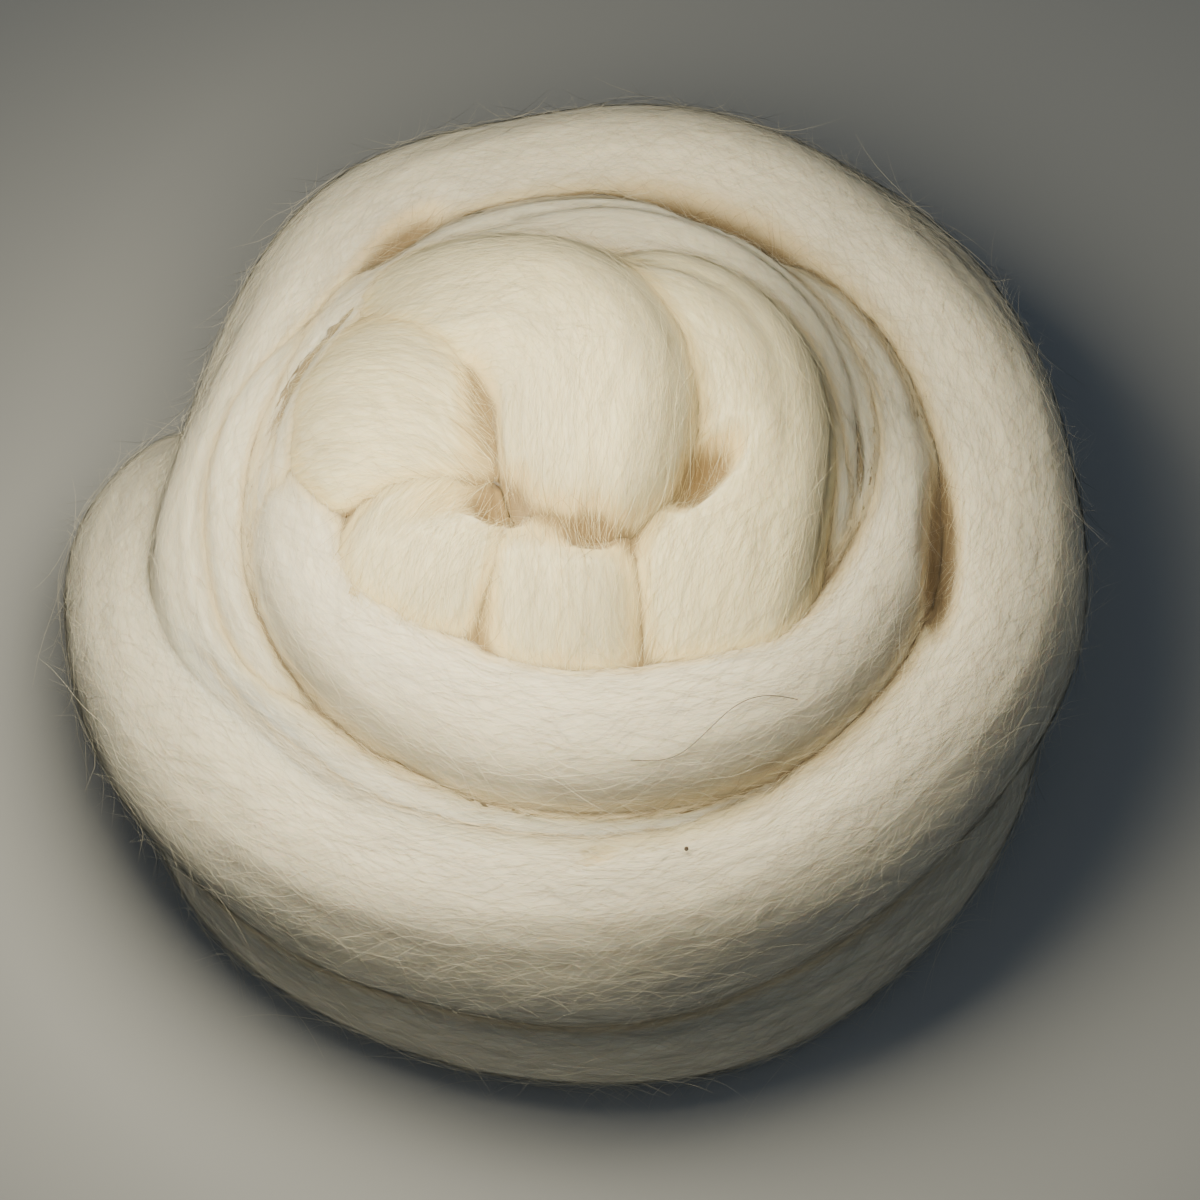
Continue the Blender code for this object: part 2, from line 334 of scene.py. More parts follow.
@dataclass(frozen=True)
class NestSize:
    """The nest's driving sizes in metres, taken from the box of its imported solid.

    Args:
        radius: from the winding axis to the outside of the nest.
        height: from the table to the top of the heart, before the wool settles.
        roving: the width of the loose roving, laid flat.
        axis: where the winding axis meets the table.
    """

    radius: float
    height: float
    roving: float
    axis: Vector

    @classmethod
    def from_box(cls, low: Vector, high: Vector) -> "NestSize":
        """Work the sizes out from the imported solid's box.

        Args:
            low: the box's lowest corner.
            high: the box's highest corner.

        Returns:
            The sizes of the nest that fills the box.
        """
        radii_across, heights_up, rovings_to_radius = 1.924, 0.962, 2.75
        axis_right, axis_back = 0.0121, -0.0272
        radius = (high.x - low.x) / radii_across
        middle = (low + high) / 2
        axis = Vector((middle.x + axis_right * radius, middle.y + axis_back * radius, low.z))
        return cls(radius, (high.z - low.z) / heights_up, radius / rovings_to_radius, axis)


@dataclass(frozen=True)
class Sections:
    """Evenly spaced sections along a stretch of roving, one row of each array for each.

    Args:
        middle: the middle of each section.
        widens: the way each section widens, a unit vector.
        half_width: half of each section's width, in metres.
        half_thick: half of each section's thickness, in metres.
    """

    middle: np.ndarray
    widens: np.ndarray
    half_width: np.ndarray
    half_thick: np.ndarray

    @property
    def run(self) -> np.ndarray:
        """The length of roving before each section, in metres."""
        steps = np.linalg.norm(np.diff(self.middle, axis=0), axis=1)
        return np.concatenate([[0.0], np.cumsum(steps)])

    def spaced(self, gap: float) -> "Sections":
        """Respace the sections evenly along the roving.

        Args:
            gap: the length of roving between two sections, in metres.

        Returns:
            The same stretch with sections that far apart.
        """
        run = self.run
        even = np.linspace(0.0, run[-1], max(int(round(run[-1] / gap)), 8) + 1)

        def at(values: np.ndarray) -> np.ndarray:
            """Read a column of values at the even spacing.

            Args:
                values: one value or one row of values for each section.

            Returns:
                The same for each evenly spaced section.
            """
            if values.ndim == 1:
                return np.interp(even, run, values)
            return np.stack([np.interp(even, run, column) for column in values.T], axis=1)

        widens = at(self.widens)
        widens /= np.linalg.norm(widens, axis=1, keepdims=True)
        return Sections(at(self.middle), widens, at(self.half_width), at(self.half_thick))


def smooth_rows(rows: Sequence[NamedTuple], steps: int = 24) -> np.ndarray:
    """Run a smooth curve through the rows of a table.

    Args:
        rows: the table's rows.
        steps: how many values are worked out from one row to the next.

    Returns:
        One line of values for each step, in the order of the table's columns.
    """
    values = np.array(rows, float)
    padded = np.vstack([values[:1], values, values[-1:]])
    share = np.linspace(0.0, 1.0, steps, endpoint=False)[:, None]
    square, cube = share**2, share**3
    pieces = []
    for number in range(len(values) - 1):
        before, start, end, after = padded[number : number + 4]
        slope_in, slope_out = (end - before) / 2, (after - start) / 2
        piece = start * (2 * cube - 3 * square + 1) + slope_in * (cube - 2 * square + share)
        pieces.append(piece + end * (3 * square - 2 * cube) + slope_out * (cube - square))
    return np.vstack([*pieces, values[-1:]])


def unit(vectors: np.ndarray) -> np.ndarray:
    """Scale each row to a length of one."""
    return vectors / np.maximum(np.linalg.norm(vectors, axis=-1, keepdims=True), 1e-12)


@dataclass(frozen=True)
class Bundles:
    """How the comb's bundles of fibre show as soft ridges along a stretch.

    Args:
        swell: height of the broad swellings, in metres.
        ridge: height of the bundles, in metres.
        parts: how many parts lie side by side round the girth, or 0 for none.
        part_depth: depth of the grooves between the parts, as a share of the section.
        twist: turns round the girth that the parts make in one metre.
    """

    swell: float = 0.0012
    ridge: float = 0.0003
    parts: int = 0
    part_depth: float = 0.0
    twist: float = 0.0

    def relief(self, run: float, angle: float, seed: float) -> float:
        """How far the wool stands out from its smooth section.

        Args:
            run: the length of roving before this place, in metres.
            angle: the place on the girth, in radians.
            seed: a number that sets this stretch apart from the others.

        Returns:
            The height in metres.
        """
        around = (math.cos(angle), math.sin(angle))
        broad = noise.noise(Vector((run * 22 + seed, around[0] * 1.1 + seed, around[1] * 1.1)))
        strips = noise.noise(Vector((run * 11 - seed, around[0] * 4.5, around[1] * 4.5 + seed)))
        fine = noise.noise(Vector((run * 14 + seed, around[0] * 13, around[1] * 13 - seed)))
        return self.swell * broad + self.ridge * (strips + 0.3 * fine)

    def groove(self, run: float, angle: float, seed: float) -> float:
        """How much the parts' grooves draw the section in.

        Args:
            run: the length of roving before this place, in metres.
            angle: the place on the girth, in radians.
            seed: a number that sets this stretch apart from the others.

        Returns:
            The share of the section that is left, at most 1.
        """
        if not self.parts:
            return 1.0
        wander = 0.5 * noise.noise(Vector((run * 16 + seed, seed, 0.0)))
        phase = self.parts * (angle + wander + math.tau * self.twist * run) / 2
        strength = 0.55 + 0.9 * noise.noise(Vector((run * 20, angle * 2.0, seed * 3)))
        return 1.0 - self.part_depth * max(strength, 0.0) * (1.0 - abs(math.sin(phase))) ** 3


@dataclass
class Stretch:
    """One stretch of the roving, built as a soft closed form.

    Args:
        name: the piece's name.
        rows: the table that its route and sections follow.
        bundles: the ridges and grooves along it.
        seed: a number that sets its wool apart from the others'.
        sides: how many points go round its girth.
        gap: the length of roving between two rings of points, in metres.
        coated: whether fibres show on it.
        sections: its sections, once it is built.
        forwards: the way the roving runs at each section, once it is built.
        piece: its object, once it is built.
    """

    name: str
    rows: Sequence[NamedTuple]
    bundles: Bundles = field(default_factory=Bundles)
    seed: int = 1
    sides: int = 64
    gap: float = 0.0022
    coated: bool = True
    sections: Sections | None = field(init=False, default=None)
    forwards: np.ndarray | None = field(init=False, default=None)
    piece: bpy.types.Object | None = field(init=False, default=None)

    def route(self, size: NestSize) -> Sections:
        """Place the sections that the table's rows describe.

        Args:
            size: the nest's driving sizes.

        Returns:
            The sections of this stretch, evenly spaced.
        """
        raise NotImplementedError

    def build(self, size: NestSize) -> bpy.types.Object:
        """Sweep the stretch and mark its surface for fibres and finish.

        Args:
            size: the nest's driving sizes.

        Returns:
            The stretch's object, with its place in its mesh.
        """
        self.sections = self.route(size)
        self.piece = bpy.data.objects.new(self.name, self.closed_mesh(self.rings()))
        bpy.context.scene.collection.objects.link(self.piece)
        return self.piece

    def ending(self) -> np.ndarray:
        """Work out how much of its full size each section keeps near the rounded ends.

        Returns:
            A share for each section.
        """
        run = self.sections.run
        reach = np.minimum(run, run[-1] - run) + self.gap / 4
        share = np.minimum(reach / (self.sections.half_thick * END_ROUNDING), 1.0)
        return np.sqrt(1.0 - (1.0 - share) ** 2)

    def rings(self) -> np.ndarray:
        """Work out the rings of points round the stretch.

        Returns:
            An array of places: ring, point on the ring, coordinate.
        """
        at = self.sections
        self.forwards = unit(np.gradient(at.middle, axis=0))
        outwards = unit(at.widens - self.forwards * (at.widens * self.forwards).sum(1)[:, None])
        upwards = np.cross(self.forwards, outwards)
        run, ending = at.run, self.ending()
        angles = np.arange(self.sides) * math.tau / self.sides
        seed = self.seed * 7.31
        relief = np.array([[self.bundles.relief(r, a, seed) for a in angles] for r in run])
        groove = np.array([[self.bundles.groove(r, a, seed) for a in angles] for r in run])
        width = (at.half_width[:, None] * groove + relief) * ending[:, None]
        thick = (at.half_thick[:, None] * groove + relief) * ending[:, None]
        across = outwards[:, None, :] * (np.cos(angles) * width)[:, :, None]
        over = upwards[:, None, :] * (np.sin(angles) * thick)[:, :, None]
        places = at.middle[:, None, :] + across + over
        places[:, :, 2] = np.maximum(places[:, :, 2], LOWEST)
        return places

    def closed_mesh(self, rings: np.ndarray) -> bpy.types.Mesh:
        """Join the rings into one closed mesh, with its marks.

        Args:
            rings: the rings of points.

        Returns:
            The mesh, its faces pointing outwards.
        """
        count, sides = rings.shape[:2]
        poles = self.sections.middle[[0, -1]].copy()
        poles[:, 2] = np.maximum(poles[:, 2], LOWEST)
        places = np.vstack([rings.reshape(-1, 3), poles])
        start, end = count * sides, count * sides + 1
        faces, corners = [], []
        length, girth = self.sections.run[-1], self.girth()
        shares = self.sections.run / length
        for ring in range(count - 1):
            for side in range(sides):
                other = (side + 1) % sides
                here, there = ring * sides, (ring + 1) * sides
                faces.append((here + side, here + other, there + other, there + side))
                near, far = side / sides, (side + 1) / sides
                low, high = shares[ring], shares[ring + 1]
                corners += [(low, near), (low, far), (high, far), (high, near)]
        last = (count - 1) * sides
        for side in range(sides):
            other, near, far = (side + 1) % sides, side / sides, (side + 1) / sides
            faces.append((start, other, side))
            corners += [(0.0, (near + far) / 2), (0.0, far), (0.0, near)]
            faces.append((end, last + side, last + other))
            corners += [(1.0, (near + far) / 2), (1.0, near), (1.0, far)]
        mesh = bpy.data.meshes.new(self.name)
        mesh.from_pydata(places.tolist(), [], faces)
        mesh.update()
        mesh.shade_smooth()
        corners = np.array(corners, np.float32)
        shares_map = mesh.uv_layers.new(name=PLACE_ON_ROVING)
        shares_map.uv.foreach_set("vector", corners.ravel())
        metres_map = mesh.uv_layers.new(name=LAID_LENGTH)
        metres = corners * np.array([length, girth], np.float32)
        metres_map.uv.foreach_set("vector", metres.ravel())
        along = np.vstack([np.repeat(self.forwards, sides, axis=0), self.forwards[[0, -1]]])
        mark = mesh.attributes.new(ALONG, "FLOAT_VECTOR", "POINT")
        mark.data.foreach_set("vector", along.astype(np.float32).ravel())
        return mesh

    def girth(self) -> float:
        """The mean distance round the stretch, in metres."""
        at = self.sections
        return float(math.tau * np.sqrt((at.half_width**2 + at.half_thick**2) / 2).mean())


class Coil(Stretch):
    """A stretch wound round the axis of the nest."""

    def route(self, size: NestSize) -> Sections:
        """Place the coil's sections round the axis.

        Args:
            size: the nest's driving sizes.

        Returns:
            The coil's sections, evenly spaced.
        """
        bearing, reach, height, width, thick = smooth_rows(self.rows).T
        bearing = np.radians(bearing)
        outwards = np.stack([np.cos(bearing), np.sin(bearing), np.zeros_like(bearing)], axis=1)
        middle = np.array(size.axis) + outwards * (reach * size.radius)[:, None]
        middle[:, 2] += height * size.height
        half = size.roving / 2
        return Sections(middle, outwards, width * half, thick * half).spaced(self.gap)


class Fold(Stretch):
    """A stretch folded over in the heart of the nest."""

    def route(self, size: NestSize) -> Sections:
        """Place the fold's sections on the plan of the nest.

        Args:
            size: the nest's driving sizes.

        Returns:
            The fold's sections, evenly spaced, each widening across the fold's way.
        """
        right, back, height, width, thick = smooth_rows(self.rows).T
        plan = np.stack([right * size.radius, back * size.radius, height * size.height], axis=1)
        middle = np.array(size.axis) + plan
        way = np.gradient(plan, axis=0)
        sideways = unit(np.stack([way[:, 1], -way[:, 0], np.zeros(len(way))], axis=1))
        half = size.roving / 2
        return Sections(middle, sideways, width * half, thick * half).spaced(self.gap)


# The hollow mark found here paints shade, and warmth that is partly painted bounce light, into the
# creases
@dataclass
class Closeness:
    """Finds how closed in each place on the nest is, for colour and for fibres.

    Args:
        stretches: every stretch of the nest.
        rays: how many ways are looked in from each point.
        reach: how far is looked, in metres.
        shut: the hollow mark from which a place is too closed in for fibres.
        fade: how much less hollow a place is where all of its fibres grow.
        start: how far above the surface the looking starts, in metres.
        inside: the share of the rays that must meet a surface from behind in a buried place.
        rounds: how many times the hollow mark is softened.
    """

    stretches: Sequence[Stretch]
    rays: int = 14
    reach: float = 0.034
    shut: float = 0.86
    fade: float = 0.1
    start: float = 0.0006
    inside: float = 0.4
    rounds: int = 6

    def mark(self) -> None:
        """Give each stretch its marks for hollow places and for open ones."""
        trees = [BVHTree.FromObject(s.piece, self.graph()) for s in self.stretches]
        ways = self.ways()
        for stretch, own in zip(self.stretches, trees):
            others = [tree for tree in trees if tree is not own]
            self.mark_one(stretch, others, ways)

    @staticmethod
    def graph() -> bpy.types.Depsgraph:
        """The evaluated scene."""
        return bpy.context.evaluated_depsgraph_get()

    def ways(self) -> np.ndarray:
        """Spread directions over a half ball round +Z, more of them near the middle.

        Returns:
            The directions, one unit vector in each row.
        """
        number = np.arange(self.rays) + 0.5
        lift = np.sqrt(1.0 - number / self.rays)
        turn = number * math.pi * (3.0 - math.sqrt(5.0))
        flat = np.sqrt(1.0 - lift**2)
        return np.stack([flat * np.cos(turn), flat * np.sin(turn), lift], axis=1)

    def mark_one(self, stretch: Stretch, others: list[BVHTree], ways: np.ndarray) -> None:
        """Give one stretch its marks.

        Args:
            stretch: the stretch to mark.
            others: the surfaces of the other stretches.
            ways: the directions to look in, round +Z.
        """
        mesh = stretch.piece.data
        count = len(mesh.vertices)
        hollow, buried = np.zeros(count), np.zeros(count)
        for vertex in mesh.vertices:
            turn = vertex.normal.to_track_quat("Z", "Y")
            origin = vertex.co + vertex.normal * self.start
            shut, inside = 0.0, 0
            if origin.z < 2 * LOWEST:
                buried[vertex.index] = hollow[vertex.index] = 1.0
                continue
            for way in ways:
                nearest, behind = self.reach, False
                ray = turn @ Vector(way)
                for tree in others:
                    place, facing, _, distance = tree.ray_cast(origin, ray, nearest)
                    if place is not None:
                        nearest, behind = distance, facing.dot(ray) > 0.0
                shut += 1.0 - nearest / self.reach
                inside += behind
            hollow[vertex.index] = shut / self.rays
            buried[vertex.index] = float(inside > self.rays * self.inside)
        hollow[buried > 0.5] = 1.0
        seen = np.clip((self.shut - hollow) / self.fade, 0.0, 1.0) * (1.0 - buried)
        self.write(mesh, HOLLOW, self.softened(hollow, stretch))
        self.write(mesh, BURIED, buried)
        self.write(mesh, OPEN, seen)

    def softened(self, values: np.ndarray, stretch: Stretch) -> np.ndarray:
        """Even out a mark between neighbouring points.

        Args:
            values: the mark, one value for each point.
            stretch: the stretch that carries it.

        Returns:
            The softened values.
        """
        sides = stretch.sides
        grid = values[:-2].reshape(-1, sides)
        for _ in range(self.rounds):
            before = np.vstack([grid[:1], grid[:-1]])
            after = np.vstack([grid[1:], grid[-1:]])
            grid = (grid * 2 + before + after + np.roll(grid, 1, 1) + np.roll(grid, -1, 1)) / 6
        return np.concatenate([grid.ravel(), values[-2:]])

    @staticmethod
    def write(mesh: bpy.types.Mesh, name: str, values: np.ndarray) -> None:
        """Store a mark on a mesh's points."""
        mark = mesh.attributes.new(name, "FLOAT", "POINT")
        mark.data.foreach_set("value", values.astype(np.float32))


@dataclass
class Settling:
    """Lets neighbouring stretches sink softly into one another.

    A smooth skin is drawn over the whole nest. Wherever a stretch dips under the skin, beside a
    groove, it swells out to it, so that the wool bridges the groove's edges.

    Args:
        stretches: every stretch of the nest.
        grain: size of the skin's cells, in metres.
        rounds: how many times the skin is evened out.
        reach: how deep under the skin the wool still swells out to it, in metres.
        inset: how far under the skin the wool inside another stretch stays, in metres.
        groove_from: the hollow mark from which wool is beside a groove.
        groove_full: how much more hollow the wool is where it swells all the way.
        easing: the share of the reach over which the swelling dies away.
    """

    stretches: Sequence[Stretch]
    grain: float = 0.0022
    rounds: int = 14
    reach: float = 0.009
    inset: float = 0.0006
    groove_from: float = 0.112
    groove_full: float = 0.14
    easing: float = 0.4

    def settle(self) -> None:
        """Swell every stretch out to the skin."""
        skin = self.skin()
        for stretch in self.stretches:
            mesh = stretch.piece.data
            buried = mesh.attributes[BURIED].data
            closed_in = mesh.attributes[HOLLOW].data
            for vertex in mesh.vertices:
                place, facing, _, _ = skin.find_nearest(vertex.co, self.reach)
                if place is None:
                    continue
                place -= facing * self.inset * buried[vertex.index].value
                depth = (place - vertex.co).dot(facing)
                if depth > 0.0:
                    beside = (closed_in[vertex.index].value - self.groove_from) / self.groove_full
                    beside = min(max(beside, 0.0), 1.0)
                    vertex.co += (place - vertex.co) * self.share(depth) * beside
                    vertex.co.z = max(vertex.co.z, LOWEST)
            mesh.update()

    def share(self, depth: float) -> float:
        """The share of the way to the skin that wool at this depth swells."""
        left = min(max((self.reach - depth) / (self.reach * self.easing), 0.0), 1.0)
        return left * left * (3.0 - 2.0 * left)

    def skin(self) -> BVHTree:
        """Draw the smooth skin over the nest.

        Returns:
            The skin, ready to be searched for its nearest point.
        """
        together = bmesh.new()
        for stretch in self.stretches:
            together.from_mesh(stretch.piece.data)
        mesh = bpy.data.meshes.new("skin")
        together.to_mesh(mesh)
        together.free()
        holder = bpy.data.objects.new("skin", mesh)
        bpy.context.scene.collection.objects.link(holder)
        cells = holder.modifiers.new("cells", "REMESH")
        cells.mode = "VOXEL"
        cells.voxel_size = self.grain
        evened = holder.modifiers.new("evened", "SMOOTH")
        evened.factor = 0.5
        evened.iterations = self.rounds
        skin = BVHTree.FromObject(holder, Closeness.graph())
        bpy.data.objects.remove(holder)
        bpy.data.meshes.remove(mesh)
        return skin


@dataclass
class DrawnIn:
    """Presses the dents into the nest and marks them as hollow.

    Args:
        size: the nest's driving sizes.
        dents: the dents.
        shade: how much painted shade the middle of a deep dent adds, through the hollow mark.
        full_depth: the depth from which a dent is deep, in nest radii.
        roundness: how softly a dent fades at its edge, higher for softer.
    """

    size: NestSize
    dents: Sequence[Dent]
    shade: float = 0.8
    full_depth: float = 0.055
    roundness: float = 1.5

    def press(self, stretch: Stretch) -> None:
        """Press every dent into one stretch.

        Args:
            stretch: the stretch, already marked.
        """
        mesh = stretch.piece.data
        count = len(mesh.vertices)
        places = np.empty(count * 3, np.float32)
        mesh.vertices.foreach_get("co", places)
        places = places.reshape(-1, 3)
        marks, bare = np.empty(count, np.float32), np.empty(count, np.float32)
        mesh.attributes[HOLLOW].data.foreach_get("value", marks)
        mesh.attributes[OPEN].data.foreach_get("value", bare)
        for dent in self.dents:
            share = self.share(places, dent)
            places[:, 2] = np.maximum(places[:, 2] - share * dent.depth * self.size.radius, LOWEST)
            deep = min(dent.depth / self.full_depth, 1.0)
            # painted shade in the dent, added to the hollow mark
            marks = np.minimum(marks + share * self.shade * deep, 1.0)
            bare *= 1.0 - share * deep
        mesh.vertices.foreach_set("co", places.ravel())
        mesh.attributes[HOLLOW].data.foreach_set("value", marks)
        mesh.attributes[OPEN].data.foreach_set("value", bare)
        mesh.update()

    def share(self, places: np.ndarray, dent: Dent) -> np.ndarray:
        """How far into a dent each place is.

        Args:
            places: the places, one in each row.
            dent: the dent.

        Returns:
            For each place a share, 1 in the middle of the dent and 0 outside it.
        """
        radius, turn = self.size.radius, math.radians(dent.turn)
        middle = np.array(self.size.axis[:2]) + np.array((dent.right, dent.back)) * radius
        plan = (places[:, :2] - middle) / radius
        along = plan @ np.array((math.cos(turn), math.sin(turn))) / (dent.length / 2)
        across = plan @ np.array((-math.sin(turn), math.cos(turn))) / (dent.width / 2)
        inside = np.clip(1.0 - along**2 - across**2, 0.0, 1.0)
        return inside**self.roundness


class NodeSheet:
    """Lays nodes out in a tree and links them by short calls.

    Args:
        tree: the node tree to fill.
    """

    def __init__(self, tree: bpy.types.NodeTree) -> None:
        """Start on an empty tree."""
        self.tree = tree
        tree.nodes.clear()

    def add(self, kind: str, links: dict | None = None, **settings: object) -> bpy.types.Node:
        """Add a node.

        Args:
            kind: the node's type.
            links: a socket or a plain value for each named or numbered input.
            settings: the node's own properties.

        Returns:
            The new node.
        """
        node = self.tree.nodes.new(kind)
        for name, value in settings.items():
            setattr(node, name, value)
        for name, value in (links or {}).items():
            self.give(self.socket(node.inputs, name), value)
        return node

    @staticmethod
    def socket(sockets: object, name: object) -> bpy.types.NodeSocket:
        """Find a socket by its number, its identifier or its name."""
        found = [socket for socket in sockets if socket.identifier == name]
        return found[0] if found else sockets[name]

    def give(self, socket: bpy.types.NodeSocket, value: object) -> None:
        """Link another socket into this one, or set it to a plain value.

        Args:
            socket: the input to fill.
            value: the other socket, or the plain value.
        """
        if isinstance(value, bpy.types.NodeSocket):
            self.tree.links.new(value, socket)
        else:
            socket.default_value = value

    def maths(self, operation: str, *values: object) -> bpy.types.NodeSocket:
        """Add a sum on numbers.

        Args:
            operation: the kind of sum.
            values: sockets or numbers.

        Returns:
            The result's socket.
        """
        links = dict(enumerate(values))
        return self.add("ShaderNodeMath", links, operation=operation).outputs[0]

    def times(self, first: object, second: object) -> bpy.types.NodeSocket:
        """The product of two numbers."""
        return self.maths("MULTIPLY", first, second)

    def plus(self, first: object, second: object) -> bpy.types.NodeSocket:
        """The sum of two numbers."""
        return self.maths("ADD", first, second)

    def vectors(self, operation: str, *values: object) -> bpy.types.NodeSocket:
        """Add a sum on vectors.

        Args:
            operation: the kind of sum.
            values: sockets or vectors, the last a plain scale where the sum takes one.

        Returns:
            The result's socket.
        """
        node = self.add("ShaderNodeVectorMath", operation=operation)
        names = ["Vector", "Scale"] if operation == "SCALE" else [0, 1, 2]
        for name, value in zip(names, values):
            self.give(node.inputs[name], value)
        return node.outputs["Value" if operation in ("DOT_PRODUCT", "LENGTH") else "Vector"]

    def split(self, vector: bpy.types.NodeSocket) -> list[bpy.types.NodeSocket]:
        """The three parts of a vector."""
        return list(self.add("ShaderNodeSeparateXYZ", {0: vector}).outputs)

    def joined(self, *parts: object) -> bpy.types.NodeSocket:
        """A vector made of up to three parts."""
        return self.add("ShaderNodeCombineXYZ", dict(enumerate(parts))).outputs[0]


@dataclass(frozen=True)
class WoolTone:
    """The natural wool's colours and the size of its streaks, shared by every finish.

    Args:
        pale: the wool in the open.
        grey: the cooler streaks in it.
        warm: the wool in the folds, partly its own tan and partly painted bounce light.
        deep: painted shade at the bottom of a crease.
        streak_length: length of a streak along the roving, in metres.
        streak_width: width of a streak, in metres.
        streaks_show: the tone at which the grey streaks begin and at which they are full.
        drift: how many soft patches of tone one metre holds, along the roving and across it.
        warms: the hollow mark at which the tan and painted bounce light begin and at which they are
            full.
        deepens: the hollow mark at which the painted shade begins and at which it is full.
    """

    pale: tuple = (0.88, 0.80, 0.61, 1.0)
    grey: tuple = (0.66, 0.61, 0.50, 1.0)
    # warm is partly painted bounce light, deep is painted shade
    warm: tuple = (0.84, 0.68, 0.42, 1.0)
    deep: tuple = (0.34, 0.24, 0.13, 1.0)
    streak_length: float = 0.0030
    streak_width: float = 0.0003
    streaks_show: tuple = (0.55, 1.15)
    drift: tuple = (14.0, 90.0, 1.0)
    warms: tuple = (0.12, 0.44)
    deepens: tuple = (0.42, 0.80)

    def group(self) -> bpy.types.NodeTree:
        """Build the shader group that turns marks into colour and relief.

        Returns:
            The group: Hollow, Place and Tone go in, Colour and Relief come out.
        """
        tree = bpy.data.node_groups.new("natural_wool", "ShaderNodeTree")
        for name, kind in (("Hollow", "Float"), ("Place", "Vector"), ("Tone", "Float")):
            tree.interface.new_socket(name, in_out="INPUT", socket_type=f"NodeSocket{kind}")
        tree.interface.new_socket("Colour", in_out="OUTPUT", socket_type="NodeSocketColor")
        tree.interface.new_socket("Relief", in_out="OUTPUT", socket_type="NodeSocketFloat")
        sheet = NodeSheet(tree)
        given = sheet.add("NodeGroupInput")
        scale = (1 / self.streak_length, 1 / self.streak_width, 1.0)
        laid = sheet.vectors("MULTIPLY", given.outputs["Place"], scale)
        streaks = sheet.add("ShaderNodeTexNoise", {"Vector": laid, "Scale": 1.0, "Detail": 3.0})
        broad = sheet.vectors("MULTIPLY", given.outputs["Place"], self.drift)
        drift = sheet.add("ShaderNodeTexNoise", {"Vector": broad, "Scale": 1.0, "Detail": 2.0})
        tone = sheet.plus(drift.outputs[0], sheet.times(streaks.outputs[0], 0.5))
        tone = sheet.plus(tone, given.outputs["Tone"])
        greyed = self.share(sheet, tone, *self.streaks_show)
        open_wool = self.mixed(sheet, greyed, self.pale, self.grey)
        # from the hollow mark: the wool's tan with painted bounce light in the folds, then painted shade
        # in the creases
        tan_and_bounce_share = self.share(sheet, given.outputs["Hollow"], *self.warms)
        folded = self.mixed(sheet, tan_and_bounce_share, open_wool, self.warm)
        shut = self.share(sheet, given.outputs["Hollow"], *self.deepens)
        colour = self.mixed(sheet, shut, folded, self.deep)
        sheet.add("NodeGroupOutput", {"Colour": colour, "Relief": streaks.outputs[0]})
        return tree

    @staticmethod
    def share(sheet: NodeSheet, value: object, low: float, high: float) -> bpy.types.NodeSocket:
        """Turn a value into a share from 0 at low to 1 at high.

        Args:
            sheet: the tree's sheet.
            value: the value's socket.
            low: the value at which the share is 0.
            high: the value at which the share is 1.

        Returns:
            The share's socket.
        """
        links = {"Value": value, "From Min": low, "From Max": high}
        node = sheet.add("ShaderNodeMapRange", links, interpolation_type="SMOOTHSTEP")
        return node.outputs["Result"]

    @staticmethod
    def mixed(
        sheet: NodeSheet, share: object, first: object, second: object, blend: str = "MIX"
    ) -> bpy.types.NodeSocket:
        """Mix two colours.

        Args:
            sheet: the tree's sheet.
            share: how much of the second colour shows.
            first: the first colour.
            second: the second colour.
            blend: the way of mixing.

        Returns:
            The mixed colour's socket.
        """
        links = {"Factor_Float": share, "A_Color": first, "B_Color": second}
        node = sheet.add("ShaderNodeMix", links, data_type="RGBA", blend_type=blend)
        return sheet.socket(node.outputs, "Result_Color")


